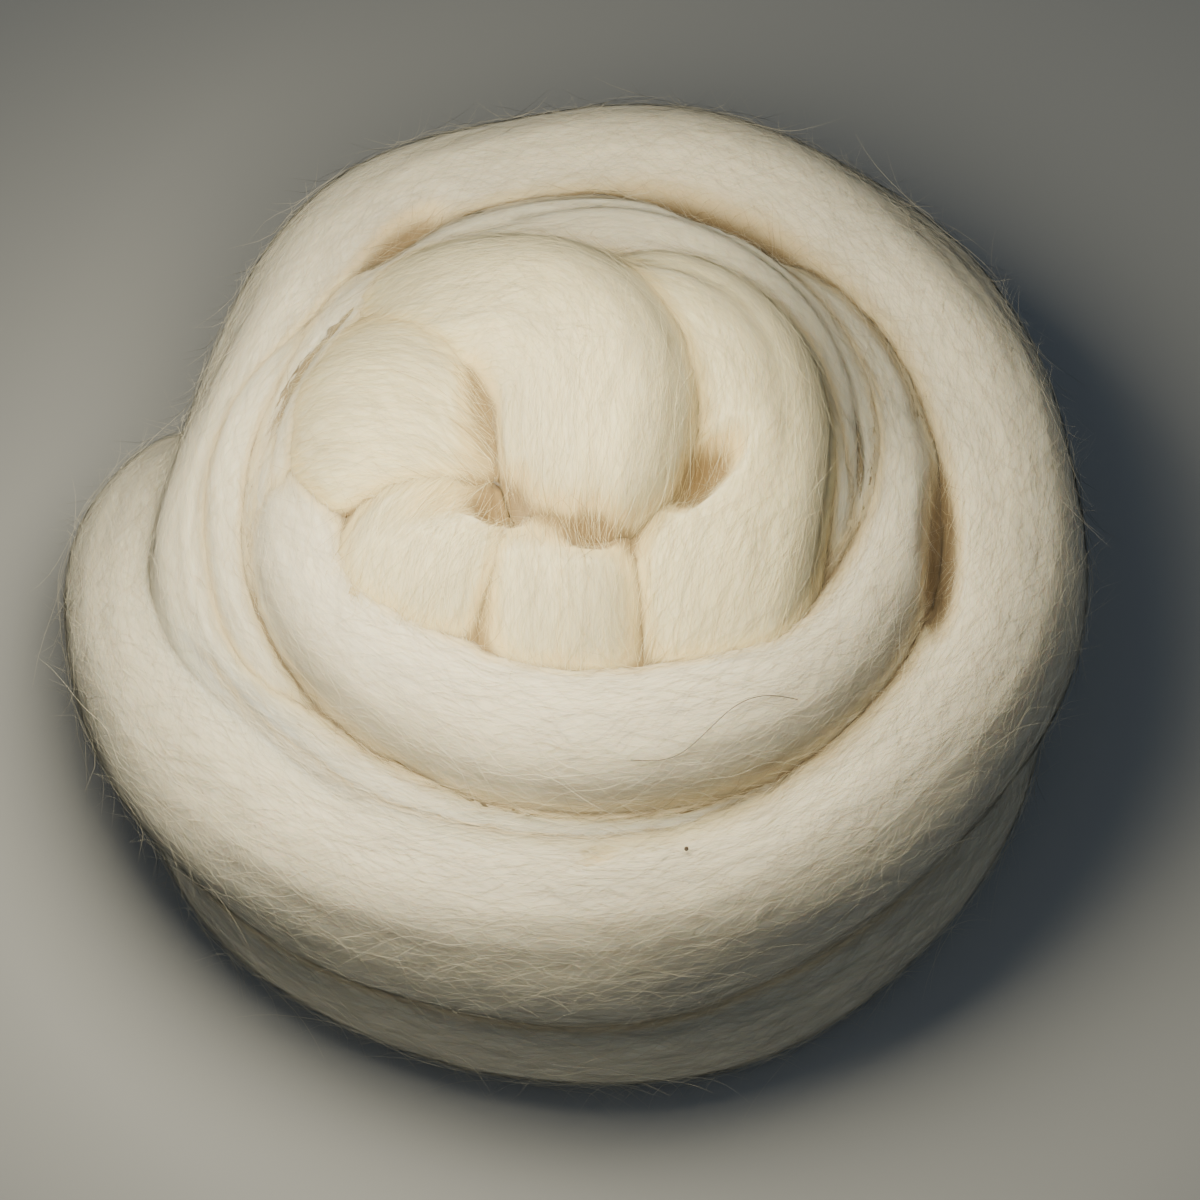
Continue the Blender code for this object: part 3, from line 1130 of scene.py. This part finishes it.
@dataclass(frozen=True)
class Finish:
    """A wool finish: how one kind of surface shows the natural wool.

    Args:
        name: the material's name.
        roughness: of the shader.
        sheen: strength of the soft light at grazing angles.
        glow: how much light passes into the wool.
        relief: height of the streaks, in metres, or 0 for none.
        tint: colour that the wool is multiplied by.
        laid: whether it is for fibres, which are lit as the wool that they lie on.
    """

    name: str
    roughness: float = 0.85
    sheen: float = 0.3
    glow: float = 0.0
    relief: float = 0.0
    tint: tuple = WHITE
    laid: bool = False

    def material(self, tone: bpy.types.NodeTree) -> bpy.types.Material:
        """Make the material.

        Args:
            tone: the shared group of the wool's colours.

        Returns:
            The material.
        """
        material = bpy.data.materials.new(self.name)
        material.use_nodes = True
        sheet = NodeSheet(material.node_tree)
        # The hollow mark brings the painted crease shade and warmth into the colour
        marks = {
            "Hollow": sheet.add("ShaderNodeAttribute", attribute_name=HOLLOW).outputs["Fac"],
            "Tone": sheet.add("ShaderNodeAttribute", attribute_name=TONE).outputs["Fac"],
            "Place": sheet.add("ShaderNodeUVMap", uv_map=LAID_LENGTH).outputs["UV"],
        }
        wool = sheet.add("ShaderNodeGroup", node_tree=tone)
        for name, mark in marks.items():
            sheet.give(wool.inputs[name], mark)
        colour = wool.outputs["Colour"]
        if self.tint != WHITE:
            colour = WoolTone.mixed(sheet, 1.0, colour, self.tint, "MULTIPLY")
        links = {
            "Base Color": colour,
            "Roughness": self.roughness,
            "Sheen Weight": self.sheen,
            "Sheen Roughness": 0.6,
            "Sheen Tint": (1.0, 0.96, 0.88, 1.0),
            "Specular IOR Level": 0.2,
        }
        if self.glow:
            links["Subsurface Weight"] = self.glow
            links["Subsurface Radius"] = (1.0, 0.75, 0.45)
            links["Subsurface Scale"] = 0.006
        shader = sheet.add("ShaderNodeBsdfPrincipled", links)
        if self.laid:
            facing = sheet.add("ShaderNodeAttribute", attribute_name=FACING)
            links = {0: facing.outputs["Vector"]}
            settings = {"vector_type": "NORMAL", "convert_from": "OBJECT", "convert_to": "WORLD"}
            turned = sheet.add("ShaderNodeVectorTransform", links, **settings)
            sheet.tree.links.new(turned.outputs[0], shader.inputs["Normal"])
        if self.relief:
            links = {"Height": wool.outputs["Relief"], "Distance": self.relief, "Strength": 1.0}
            bump = sheet.add("ShaderNodeBump", links)
            sheet.tree.links.new(bump.outputs["Normal"], shader.inputs["Normal"])
        sheet.add("ShaderNodeOutputMaterial", {"Surface": shader.outputs["BSDF"]})
        return material


class Layer(Enum):
    """The layers of fibre on a stretch, from the surface outwards."""

    LAID = "laid"
    CROSSED = "crossed"
    FUZZ = "fuzz"
    STRAYS = "strays"


@dataclass(frozen=True)
class FibreCoat:
    """A layer of fibres that follow a stretch's surface, made by Geometry Nodes.

    Args:
        layer: which layer it is.
        per_square_metre: how many fibres start on each square metre of open surface.
        length: of a fibre, in metres.
        width: of a fibre, in metres.
        joints: how many points a fibre has along it.
        lift: how far the middle of a fibre stands off the surface, in metres.
        end_lift: how much further its ends stand off, in metres.
        splay: how far its ends swing aside, in metres.
        crimp: height of its waves, in metres.
        waves: how many waves it has.
        roll: how far its flat side may turn from the surface, in radians.
        seed: sets the random draws.
        raised: how far the light on it is turned to that of fibres in the open air.
    """

    layer: Layer
    per_square_metre: float
    length: float
    width: float
    joints: int
    lift: float
    end_lift: float
    splay: float
    crimp: float
    waves: float
    roll: float
    seed: int
    raised: float = 0.45

    def tree(self) -> bpy.types.NodeTree:
        """Build the node tree, with a named input for each size.

        Returns:
            The geometry node tree.
        """
        tree = bpy.data.node_groups.new(f"fibre_coat_{self.layer.value}", "GeometryNodeTree")
        tree.interface.new_socket("Geometry", in_out="INPUT", socket_type="NodeSocketGeometry")
        for name in self.sizes():
            tree.interface.new_socket(name, in_out="INPUT", socket_type="NodeSocketFloat")
        tree.interface.new_socket("Seed", in_out="INPUT", socket_type="NodeSocketInt")
        tree.interface.new_socket("Wool", in_out="INPUT", socket_type="NodeSocketMaterial")
        tree.interface.new_socket("Geometry", in_out="OUTPUT", socket_type="NodeSocketGeometry")
        sheet = NodeSheet(tree)
        given = sheet.add("NodeGroupInput").outputs
        roots = self.roots(sheet, given)
        strips = self.strips(sheet)
        laid = sheet.add("GeometryNodeInstanceOnPoints", {"Points": roots, "Instance": strips})
        real = sheet.add("GeometryNodeRealizeInstances", {0: laid.outputs[0]}).outputs[0]
        place, facing = self.place(sheet, given)
        real = self.stored(sheet, real, FACING, facing, "FLOAT_VECTOR")
        set_place = sheet.add("GeometryNodeSetPosition", {"Geometry": real, "Position": place})
        links = {"Geometry": set_place.outputs[0], "Material": given["Wool"]}
        dressed = sheet.add("GeometryNodeSetMaterial", links)
        sheet.add("NodeGroupOutput", {0: dressed.outputs[0]})
        return tree

    def sizes(self) -> dict[str, float]:
        """List the named sizes that the tree takes.

        Returns:
            The layer's own sizes, with 1 for the two that each stretch sets.
        """
        return {
            "Fibres per square metre": self.per_square_metre,
            "Fibre length": self.length,
            "Fibre width": self.width,
            "Lift": self.lift,
            "End lift": self.end_lift,
            "Splay": self.splay,
            "Crimp": self.crimp,
            "Waves": self.waves,
            "Roll": self.roll,
            "Roving length": 1.0,
            "Roving girth": 1.0,
        }

    @staticmethod
    def named(sheet: NodeSheet, name: str, kind: str = "FLOAT") -> bpy.types.NodeSocket:
        """Read a mark from the geometry."""
        node = sheet.add("GeometryNodeInputNamedAttribute", {"Name": name}, data_type=kind)
        return node.outputs["Attribute"]

    @staticmethod
    def stored(sheet: NodeSheet, geometry: object, name: str, value: object, kind: str) -> object:
        """Write a mark on a geometry's points.

        Args:
            sheet: the tree's sheet.
            geometry: the geometry's socket.
            name: the mark's name.
            value: the mark's socket.
            kind: the mark's data type.

        Returns:
            The marked geometry's socket.
        """
        links = {"Geometry": geometry, "Name": name, "Value": value}
        settings = {"data_type": kind, "domain": "POINT"}
        return sheet.add("GeometryNodeStoreNamedAttribute", links, **settings).outputs[0]

    @staticmethod
    def random(sheet: NodeSheet, low: float, high: float, seed: object) -> bpy.types.NodeSocket:
        """Draw a random number for each point.

        Args:
            sheet: the tree's sheet.
            low: the lowest number.
            high: the highest number.
            seed: sets the draw.

        Returns:
            The number's socket.
        """
        links = {"Min_001": low, "Max_001": high, "Seed": seed}
        node = sheet.add("FunctionNodeRandomValue", links, data_type="FLOAT")
        return sheet.socket(node.outputs, "Value_001")

    def roots(self, sheet: NodeSheet, given: object) -> bpy.types.NodeSocket:
        """Scatter the fibres' middles over the open surface, with their own random numbers.

        Args:
            sheet: the tree's sheet.
            given: the tree's inputs.

        Returns:
            The points' socket.
        """
        density = sheet.maths("MULTIPLY", given["Fibres per square metre"], self.named(sheet, OPEN))
        links = {"Mesh": given["Geometry"], "Density": density, "Seed": given["Seed"]}
        spread = sheet.add("GeometryNodeDistributePointsOnFaces", links)
        points = spread.outputs["Points"]
        for number, name in enumerate(("root_phase", "root_side", "root_rise", "root_tone")):
            seed = sheet.maths("ADD", given["Seed"], number + 1.0)
            value = self.random(sheet, 0.0, 1.0, seed)
            points = self.stored(sheet, points, name, value, "FLOAT")
        return points

    def strips(self, sheet: NodeSheet) -> bpy.types.NodeSocket:
        """Make one straight strip, marked by the share along it and the side it is on.

        Args:
            sheet: the tree's sheet.

        Returns:
            The strip's socket.
        """
        links = {"Size X": 1.0, "Size Y": 1.0, "Vertices X": self.joints, "Vertices Y": 2}
        strip = sheet.add("GeometryNodeMeshGrid", links).outputs["Mesh"]
        across = sheet.split(sheet.add("GeometryNodeInputPosition").outputs[0])
        strip = self.stored(sheet, strip, "strip_share", across[0], "FLOAT")
        return self.stored(sheet, strip, "strip_side", across[1], "FLOAT")

    def sampled(self, sheet: NodeSheet, given: object, value: object, at: object) -> object:
        """Read a vector on the stretch's surface at a place on the roving.

        Args:
            sheet: the tree's sheet.
            given: the tree's inputs.
            value: the vector to read.
            at: the place, as shares of the stretch's length and girth.

        Returns:
            The socket of the vector there.
        """
        place = self.named(sheet, PLACE_ON_ROVING, "FLOAT_VECTOR")
        links = {"Mesh": given["Geometry"], "Value": value, "Source UV Map": place, "Sample UV": at}
        node = sheet.add("GeometryNodeSampleUVSurface", links, data_type="FLOAT_VECTOR")
        return node.outputs["Value"]

    def aside(self, sheet: NodeSheet, given: object) -> bpy.types.NodeSocket:
        """Work out how far each point of a fibre lies to the side of its root.

        Args:
            sheet: the tree's sheet.
            given: the tree's inputs.

        Returns:
            The socket of the distance in metres.
        """
        wave_starts, curl_starts = 7.0, 37.0  # how far the random phase moves each
        share, phase = self.named(sheet, "strip_share"), self.named(sheet, "root_phase")
        start = sheet.times(phase, wave_starts)
        turns = sheet.maths("MULTIPLY_ADD", share, given["Waves"], start)
        wave = sheet.maths("SINE", sheet.times(turns, math.tau))
        one_side = sheet.maths("MULTIPLY_ADD", self.named(sheet, "root_side"), 2.0, -1.0)
        swing = sheet.times(one_side, given["Splay"])
        start = sheet.times(phase, curl_starts)
        curl = sheet.times(sheet.times(share, share), sheet.maths("SINE", start))
        swung = sheet.times(swing, sheet.maths("MULTIPLY_ADD", curl, 2.0, share))
        return sheet.maths("MULTIPLY_ADD", wave, given["Crimp"], swung)

    def place_on_roving(self, sheet: NodeSheet, given: object) -> bpy.types.NodeSocket:
        """Work out where on the stretch each point of a fibre lies.

        Args:
            sheet: the tree's sheet.
            given: the tree's inputs.

        Returns:
            The socket of the place, as shares of the stretch's length and girth.
        """
        shortest, spread = 0.6, 0.8  # a fibre's length, as shares of the coat's
        share, phase = self.named(sheet, "strip_share"), self.named(sheet, "root_phase")
        root = sheet.split(self.named(sheet, PLACE_ON_ROVING, "FLOAT_VECTOR"))
        drawn = sheet.maths("MULTIPLY_ADD", phase, spread, shortest)
        length = sheet.times(given["Fibre length"], drawn)
        shift = sheet.maths("DIVIDE", sheet.times(share, length), given["Roving length"])
        along = sheet.maths("MAXIMUM", sheet.plus(root[0], shift), ENDS_BARE)
        along = sheet.maths("MINIMUM", along, 1.0 - ENDS_BARE)
        shift = sheet.maths("DIVIDE", self.aside(sheet, given), given["Roving girth"])
        around = sheet.maths("FRACT", sheet.plus(sheet.plus(root[1], shift), 1.0))
        return sheet.joined(along, around, 0.0)

    def place(self, sheet: NodeSheet, given: object) -> tuple:
        """Work out where each point of each fibre lies.

        Args:
            sheet: the tree's sheet.
            given: the tree's inputs.

        Returns:
            The places' socket, and that of the way the wool under them faces.
        """
        both_lift, thinning = 0.6, 0.75  # the lift that both ends share, the loss of width there
        share, phase = self.named(sheet, "strip_share"), self.named(sheet, "root_phase")
        rise, side = self.named(sheet, "root_rise"), self.named(sheet, "root_side")
        at = self.place_on_roving(sheet, given)
        position = sheet.add("GeometryNodeInputPosition").outputs[0]
        normal = sheet.add("GeometryNodeInputNormal").outputs[0]
        surface = self.sampled(sheet, given, position, at)
        facing = sheet.vectors("NORMALIZE", self.sampled(sheet, given, normal, at))
        forwards = self.sampled(sheet, given, self.named(sheet, ALONG, "FLOAT_VECTOR"), at)
        sideways = sheet.vectors("NORMALIZE", sheet.vectors("CROSS_PRODUCT", facing, forwards))
        bend = sheet.times(sheet.times(share, share), 4.0)  # from 0 in the middle to 1 at the ends
        lifted = sheet.times(sheet.times(bend, given["End lift"]), rise)
        free_end = sheet.maths("SIGN", sheet.maths("SUBTRACT", side, 0.5))
        free_end = sheet.maths("MULTIPLY_ADD", share, free_end, both_lift)
        lifted = sheet.times(lifted, sheet.maths("MAXIMUM", free_end, 0.0))
        off = sheet.plus(lifted, sheet.times(rise, given["Lift"]))
        taper = sheet.maths("SUBTRACT", 1.0, sheet.times(sheet.times(bend, bend), thinning))
        half = sheet.times(self.named(sheet, "strip_side"), taper)
        half = sheet.times(half, given["Fibre width"])
        roll = sheet.times(sheet.maths("SUBTRACT", phase, 0.5), given["Roll"])
        flat = sheet.vectors("SCALE", sideways, sheet.times(half, sheet.maths("COSINE", roll)))
        steep = sheet.plus(off, sheet.times(half, sheet.maths("SINE", roll)))
        risen = sheet.vectors("SCALE", facing, steep)
        place = sheet.vectors("ADD", surface, sheet.vectors("ADD", flat, risen))
        x, y, z = sheet.split(place)
        lit = sheet.vectors("NORMALIZE", sheet.vectors("ADD", facing, (0.0, 0.0, self.raised)))
        return sheet.joined(x, y, sheet.maths("MAXIMUM", z, LOWEST)), lit

    def grow(self, stretch: Stretch, wool: bpy.types.Material) -> bpy.types.Object | None:
        """Grow the layer on a stretch, as one plain mesh.

        Args:
            stretch: the stretch that carries the fibres.
            wool: the fibres' finish.

        Returns:
            The fibres' object, or None where nothing grew.
        """
        name = f"{stretch.name}_{self.layer.value}"
        tree = self.tree()
        holder = bpy.data.objects.new(name, stretch.piece.data)
        bpy.context.scene.collection.objects.link(holder)
        modifier = holder.modifiers.new("fibres", "NODES")
        modifier.node_group = tree
        values = self.sizes() | {
            "Roving length": float(stretch.sections.run[-1]),
            "Roving girth": stretch.girth(),
            "Seed": self.seed + stretch.seed,
            "Wool": wool,
        }
        for item in tree.interface.items_tree:
            if item.in_out == "INPUT" and item.name in values:
                modifier[item.identifier] = values[item.name]
        mesh = bpy.data.meshes.new_from_object(holder.evaluated_get(Closeness.graph()))
        holder.modifiers.remove(modifier)
        holder.data = mesh
        mesh.name = name
        bpy.data.node_groups.remove(tree)
        if not len(mesh.polygons):
            bpy.data.objects.remove(holder)
            return None
        self.tidy_marks(mesh)
        return holder

    @staticmethod
    def tidy_marks(mesh: bpy.types.Mesh) -> None:
        """Keep only the marks that the finish reads.

        Args:
            mesh: the fibres' mesh.
        """
        tone = mesh.attributes.get("root_tone")
        if tone is not None:
            values = np.empty(len(mesh.vertices), np.float32)
            tone.data.foreach_get("value", values)
            Closeness.write(mesh, TONE, (values - 0.5) * TONE_SPREAD)
        spare = [a.name for a in mesh.attributes if a.name.startswith(("root_", "strip_"))]
        for name in spare:
            mesh.attributes.remove(mesh.attributes[name])


# Every stretch's coats: layer, fibres per square metre, length, width, joints, lift, end lift,
# splay, crimp, waves, roll, seed, raised
COATS = (
    FibreCoat(Layer.LAID, 50_000, 0.026, 0.00008, 8, 0.0004, 0.0010, 0.0070, 0.0003, 2.5, 1.6, 100),
    FibreCoat(Layer.CROSSED, 400_000, 0.009, 0.00008, 5, 0.0004, 0.0008, 0.0085, 0.0003, 1.3, 1.6, 400),
    FibreCoat(Layer.FUZZ, 105_000, 0.012, 0.000055, 6, 0.001, 0.006, 0.010, 0.0004, 1.4, 3.1, 200, 0.9),
    FibreCoat(Layer.STRAYS, 7_000, 0.030, 0.00006, 14, 0.0015, 0.009, 0.018, 0.0008, 1.6, 3.1, 300, 1.6),
)


@dataclass
class Nest:
    """The whole nest: its stretches of roving and their coats of fibre.

    Args:
        size: the nest's driving sizes.
    """

    size: NestSize

    def stretches(self) -> list[Stretch]:
        """List the stretches of roving, from the table up.

        Returns:
            The stretches, not yet built.
        """
        split = Bundles(parts=9, part_depth=0.24, twist=0.5)
        soft = Bundles(swell=0.0010, ridge=0.0004)
        parted = Bundles(swell=0.0010, ridge=0.0004, parts=7, part_depth=0.16, twist=0.8)
        broad = Bundles(swell=0.0022, ridge=0.0005)
        return [
            Coil("packed_turns", PACKED_TURNS, soft, seed=11, sides=32, gap=0.005, coated=False),
            Coil("foot_coil", FOOT_COIL, broad, seed=1),
            Coil("outer_coil", OUTER_COIL, broad, seed=2),
            Coil("inner_coil", INNER_COIL, split, seed=3),
            Coil("collar", COLLAR, Bundles(), seed=4),
            Coil("outer_wisp", OUTER_WISP, soft, seed=12, sides=40),
            Coil("inner_wisp", INNER_WISP, soft, seed=13, sides=40),
            Coil("right_wisp", RIGHT_WISP, soft, seed=14, sides=40),
            Coil("shoulder_wisp", SHOULDER_WISP, soft, seed=15, sides=40),
            Fold("left_fold", LEFT_FOLD, soft, seed=5),
            Fold("near_left_fold", NEAR_LEFT_FOLD, soft, seed=6),
            Fold("front_fold", FRONT_FOLD, soft, seed=7),
            Fold("right_fold", RIGHT_FOLD, parted, seed=8),
            Fold("top_fold", TOP_FOLD, broad, seed=9),
        ]

    def build(self) -> None:
        """Build every piece, dress it and tie it to the frame."""
        tone = WoolTone().group()
        wools = {
            Coil: self.wools("wool", tone, WHITE),
            Fold: self.wools("heart_wool", tone, HEART_TINT),
        }
        stretches = self.stretches()
        for stretch in stretches:
            stretch.build(self.size).data.materials.append(wools[type(stretch)]["body"])
            log.info("%s: %d points", stretch.name, len(stretch.piece.data.vertices))
        Closeness(stretches).mark()
        Settling(stretches).settle()
        drawn_in = DrawnIn(self.size, DENTS)
        for stretch in stretches:
            drawn_in.press(stretch)
            self.tie(stretch.piece, padded=True)
            for coat in COATS if stretch.coated else ():
                use = "loose" if coat.layer in (Layer.FUZZ, Layer.STRAYS) else "laid"
                fibres = coat.grow(stretch, wools[type(stretch)][use])
                if fibres is not None:
                    self.tie(fibres)
                    log.info("%s: %d faces", fibres.name, len(fibres.data.polygons))
        for piece in DarkBits(self.size, stretches).build(dark_finish()):
            self.tie(piece)

    @staticmethod
    def wools(name: str, tone: bpy.types.NodeTree, tint: tuple) -> dict[str, bpy.types.Material]:
        """Make the finishes of the body, the laid fibres and the loose fibres in one tint.

        Args:
            name: what the finishes' names begin with.
            tone: the shared group of the wool's colours.
            tint: the colour that the wool is multiplied by.

        Returns:
            The finishes, by their use.
        """
        finishes = {
            "body": Finish(f"{name}_body", glow=0.5, relief=0.00005, sheen=0.35, tint=tint),
            "laid": Finish(f"{name}_fibres", sheen=0.2, roughness=0.8, laid=True, tint=tint),
            "loose": Finish(f"{name}_fuzz", sheen=0.3, roughness=0.8, laid=True, tint=tint),
        }
        return {use: finish.material(tone) for use, finish in finishes.items()}

    @staticmethod
    def tie(piece: bpy.types.Object, padded: bool = False) -> None:
        """Tie a piece to the frame.

        Args:
            piece: the finished piece.
            padded: whether it is a stretch's own soft body; not used.
        """
        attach(piece, BODY)
        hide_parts(NEST_NODE)


@dataclass
class DarkBits:
    """The one dark hair on the collar and the seed speck in front of it.

    Args:
        size: the nest's driving sizes.
        stretches: every finished stretch, for the height of the wool.
        hair_width: in metres.
        hair_points: how many points the hair has along it.
        lift: how far the bits stand off the wool, in metres.
        speck_radius: in metres.
    """

    size: NestSize
    stretches: Sequence[Stretch]
    hair_width: float = 0.00018
    hair_points: int = 48
    lift: float = 0.0017
    speck_radius: float = 0.00045

    def build(self, wool: bpy.types.Material) -> list[bpy.types.Object]:
        """Make the hair and the speck.

        Args:
            wool: the dark finish.

        Returns:
            Both pieces.
        """
        trees = [BVHTree.FromObject(s.piece, Closeness.graph()) for s in self.stretches]
        pieces = [self.hair(trees), self.speck(trees)]
        for piece in pieces:
            piece.data.materials.append(wool)
            bpy.context.scene.collection.objects.link(piece)
        return pieces

    def on_wool(self, trees: list[BVHTree], right: float, back: float) -> Vector:
        """Find the place just above the wool at a place on the plan.

        Args:
            trees: the surfaces of the stretches.
            right: of the winding axis, in nest radii.
            back: of the winding axis, in nest radii.

        Returns:
            The place in metres.
        """
        offset = Vector((right, back, 0.0)) * self.size.radius
        start = Vector((*(self.size.axis + offset).xy, 2 * self.size.height))
        down = Vector((0.0, 0.0, -1.0))
        hits = [tree.ray_cast(start, down)[0] for tree in trees]
        top = max(place.z for place in hits if place is not None)
        return Vector((start.x, start.y, top + self.lift))

    def hair(self, trees: list[BVHTree]) -> bpy.types.Object:
        """Lay the hair on the wool as one thin, wavy strip.

        Args:
            trees: the surfaces of the stretches.

        Returns:
            The hair's object.
        """
        turn = math.radians(DARK_HAIR.turn)
        line = []
        for share in np.linspace(-0.5, 0.5, self.hair_points):
            along = share * DARK_HAIR.length
            aside = DARK_HAIR.wave * math.sin(math.tau * share)
            right = DARK_HAIR.right + along * math.cos(turn) - aside * math.sin(turn)
            back = DARK_HAIR.back + along * math.sin(turn) + aside * math.cos(turn)
            line.append(self.on_wool(trees, right, back))
        places, faces = [], []
        for number, place in enumerate(line):
            ahead = line[min(number + 1, len(line) - 1)] - line[max(number - 1, 0)]
            aside = Vector((-ahead.y, ahead.x, 0.0)).normalized() * self.hair_width / 2
            places += [place - aside, place + aside]
        for number in range(len(line) - 1):
            first = number * 2
            faces.append((first, first + 2, first + 3, first + 1))
        mesh = bpy.data.meshes.new("dark_hair")
        mesh.from_pydata(places, [], faces)
        return bpy.data.objects.new("dark_hair", mesh)

    def speck(self, trees: list[BVHTree]) -> bpy.types.Object:
        """Set the speck on the wool.

        Args:
            trees: the surfaces of the stretches.

        Returns:
            The speck's object.
        """
        shape = bmesh.new()
        bmesh.ops.create_icosphere(shape, subdivisions=2, radius=self.speck_radius)
        bmesh.ops.translate(shape, vec=self.on_wool(trees, *SEED_SPECK), verts=shape.verts)
        mesh = bpy.data.meshes.new("seed_speck")
        shape.to_mesh(mesh)
        shape.free()
        mesh.shade_smooth()
        return bpy.data.objects.new("seed_speck", mesh)


def dark_finish() -> bpy.types.Material:
    """Make the brown of the dark hair and the seed speck, lighter in places.

    Returns:
        The material.
    """
    material = bpy.data.materials.new("dark_fibre")
    material.use_nodes = True
    sheet = NodeSheet(material.node_tree)
    place = sheet.add("ShaderNodeTexCoord").outputs["Object"]
    patches = sheet.add("ShaderNodeTexNoise", {"Vector": place, "Scale": 700.0, "Detail": 2.0})
    dark, light = (0.035, 0.022, 0.014, 1.0), (0.12, 0.08, 0.05, 1.0)
    shader = sheet.add("ShaderNodeBsdfPrincipled")
    colour = WoolTone.mixed(sheet, patches.outputs[0], dark, light)
    sheet.tree.links.new(colour, shader.inputs["Base Color"])
    shader.inputs["Roughness"].default_value = 0.6
    sheet.add("ShaderNodeOutputMaterial", {"Surface": shader.outputs["BSDF"]})
    return material


@dataclass(frozen=True)
class Studio:
    """A plain pale floor, soft light from just above, and the camera.

    Args:
        middle: the point that the camera looks at.
        floor_half: half of the floor's side, in metres.
        elevation: of the camera above the horizon, in degrees.
        distance: from the camera to the middle, in metres.
        lens: of the camera, in millimetres.
    """

    middle: Vector
    floor_half: float = 3.0
    elevation: float = 55.0
    distance: float = 0.85
    lens: float = 120.4

    def build(self) -> None:
        """Make the floor, the lights and the camera."""
        self.floor()
        above, in_front = Vector((-0.045, -0.035, 0.165)), Vector((0.1, -0.7, 0.9))
        self.lamp("key_light", above, size=0.14, power=0.64, tint=(1.0, 0.93, 0.70))
        self.lamp("fill_light", in_front, size=0.9, power=0.5, tint=(0.78, 0.89, 1.0))
        self.surroundings()
        self.camera()

    def floor(self) -> None:
        """Make the pale floor."""
        mesh = bpy.data.meshes.new("floor")
        half = self.floor_half
        corners = [(-half, -half, 0), (half, -half, 0), (half, half, 0), (-half, half, 0)]
        mesh.from_pydata(corners, [], [(0, 1, 2, 3)])
        floor = bpy.data.objects.new("floor", mesh)
        bpy.context.scene.collection.objects.link(floor)
        material = bpy.data.materials.new("pale_floor")
        material.use_nodes = True
        shader = material.node_tree.nodes["Principled BSDF"]
        shader.inputs["Base Color"].default_value = (0.45, 0.45, 0.45, 1.0)
        shader.inputs["Roughness"].default_value = 0.9
        mesh.materials.append(material)

    def lamp(self, name: str, offset: Vector, size: float, power: float, tint: tuple) -> None:
        """Make a soft square lamp that faces the middle.

        Args:
            name: the lamp's name.
            offset: from the middle to the lamp.
            size: of its side, in metres.
            power: in watts.
            tint: the light's colour.
        """
        light = bpy.data.lights.new(name, "AREA")
        light.size = size
        light.energy = power
        light.color = tint
        lamp = bpy.data.objects.new(name, light)
        bpy.context.scene.collection.objects.link(lamp)
        lamp.location = self.middle + offset
        lamp.rotation_euler = (-offset).to_track_quat("-Z", "Y").to_euler()
        lamp.visible_camera = False

    @staticmethod
    def surroundings() -> None:
        """Make the even light of the room."""
        world = bpy.data.worlds.new("room")
        bpy.context.scene.world = world
        world.use_nodes = True
        backdrop = world.node_tree.nodes["Background"]
        backdrop.inputs["Color"].default_value = (0.66, 0.82, 1.0, 1.0)
        backdrop.inputs["Strength"].default_value = 0.11

    def camera(self) -> None:
        """Make the camera."""
        data = bpy.data.cameras.new("camera")
        data.lens = self.lens
        camera = bpy.data.objects.new("camera", data)
        bpy.context.scene.collection.objects.link(camera)
        angle = math.radians(self.elevation)
        back = Vector((0.0, -math.cos(angle), math.sin(angle)))
        camera.location = self.middle + back * self.distance
        camera.rotation_euler = (math.pi / 2 - angle, 0.0, 0.0)
        bpy.context.scene.camera = camera


def main() -> None:
    """Build the nest and its studio."""
    logging.basicConfig(level=logging.INFO, format="%(message)s")
    low, high = CAD_BOX
    size = NestSize.from_box(low, high)
    Nest(size).build()
    middle = (low + high) / 2
    right, back, up = 0.06 * size.radius, -0.03 * size.radius, 0.29 * size.height
    aim = Vector((middle.x + right, middle.y + back, up))
    Studio(aim).build()
    faces = sum(len(piece.data.polygons) for piece in bpy.data.objects if piece.type == "MESH")
    log.info("faces in all: %d", faces)


if __name__ == "__main__":
    main()
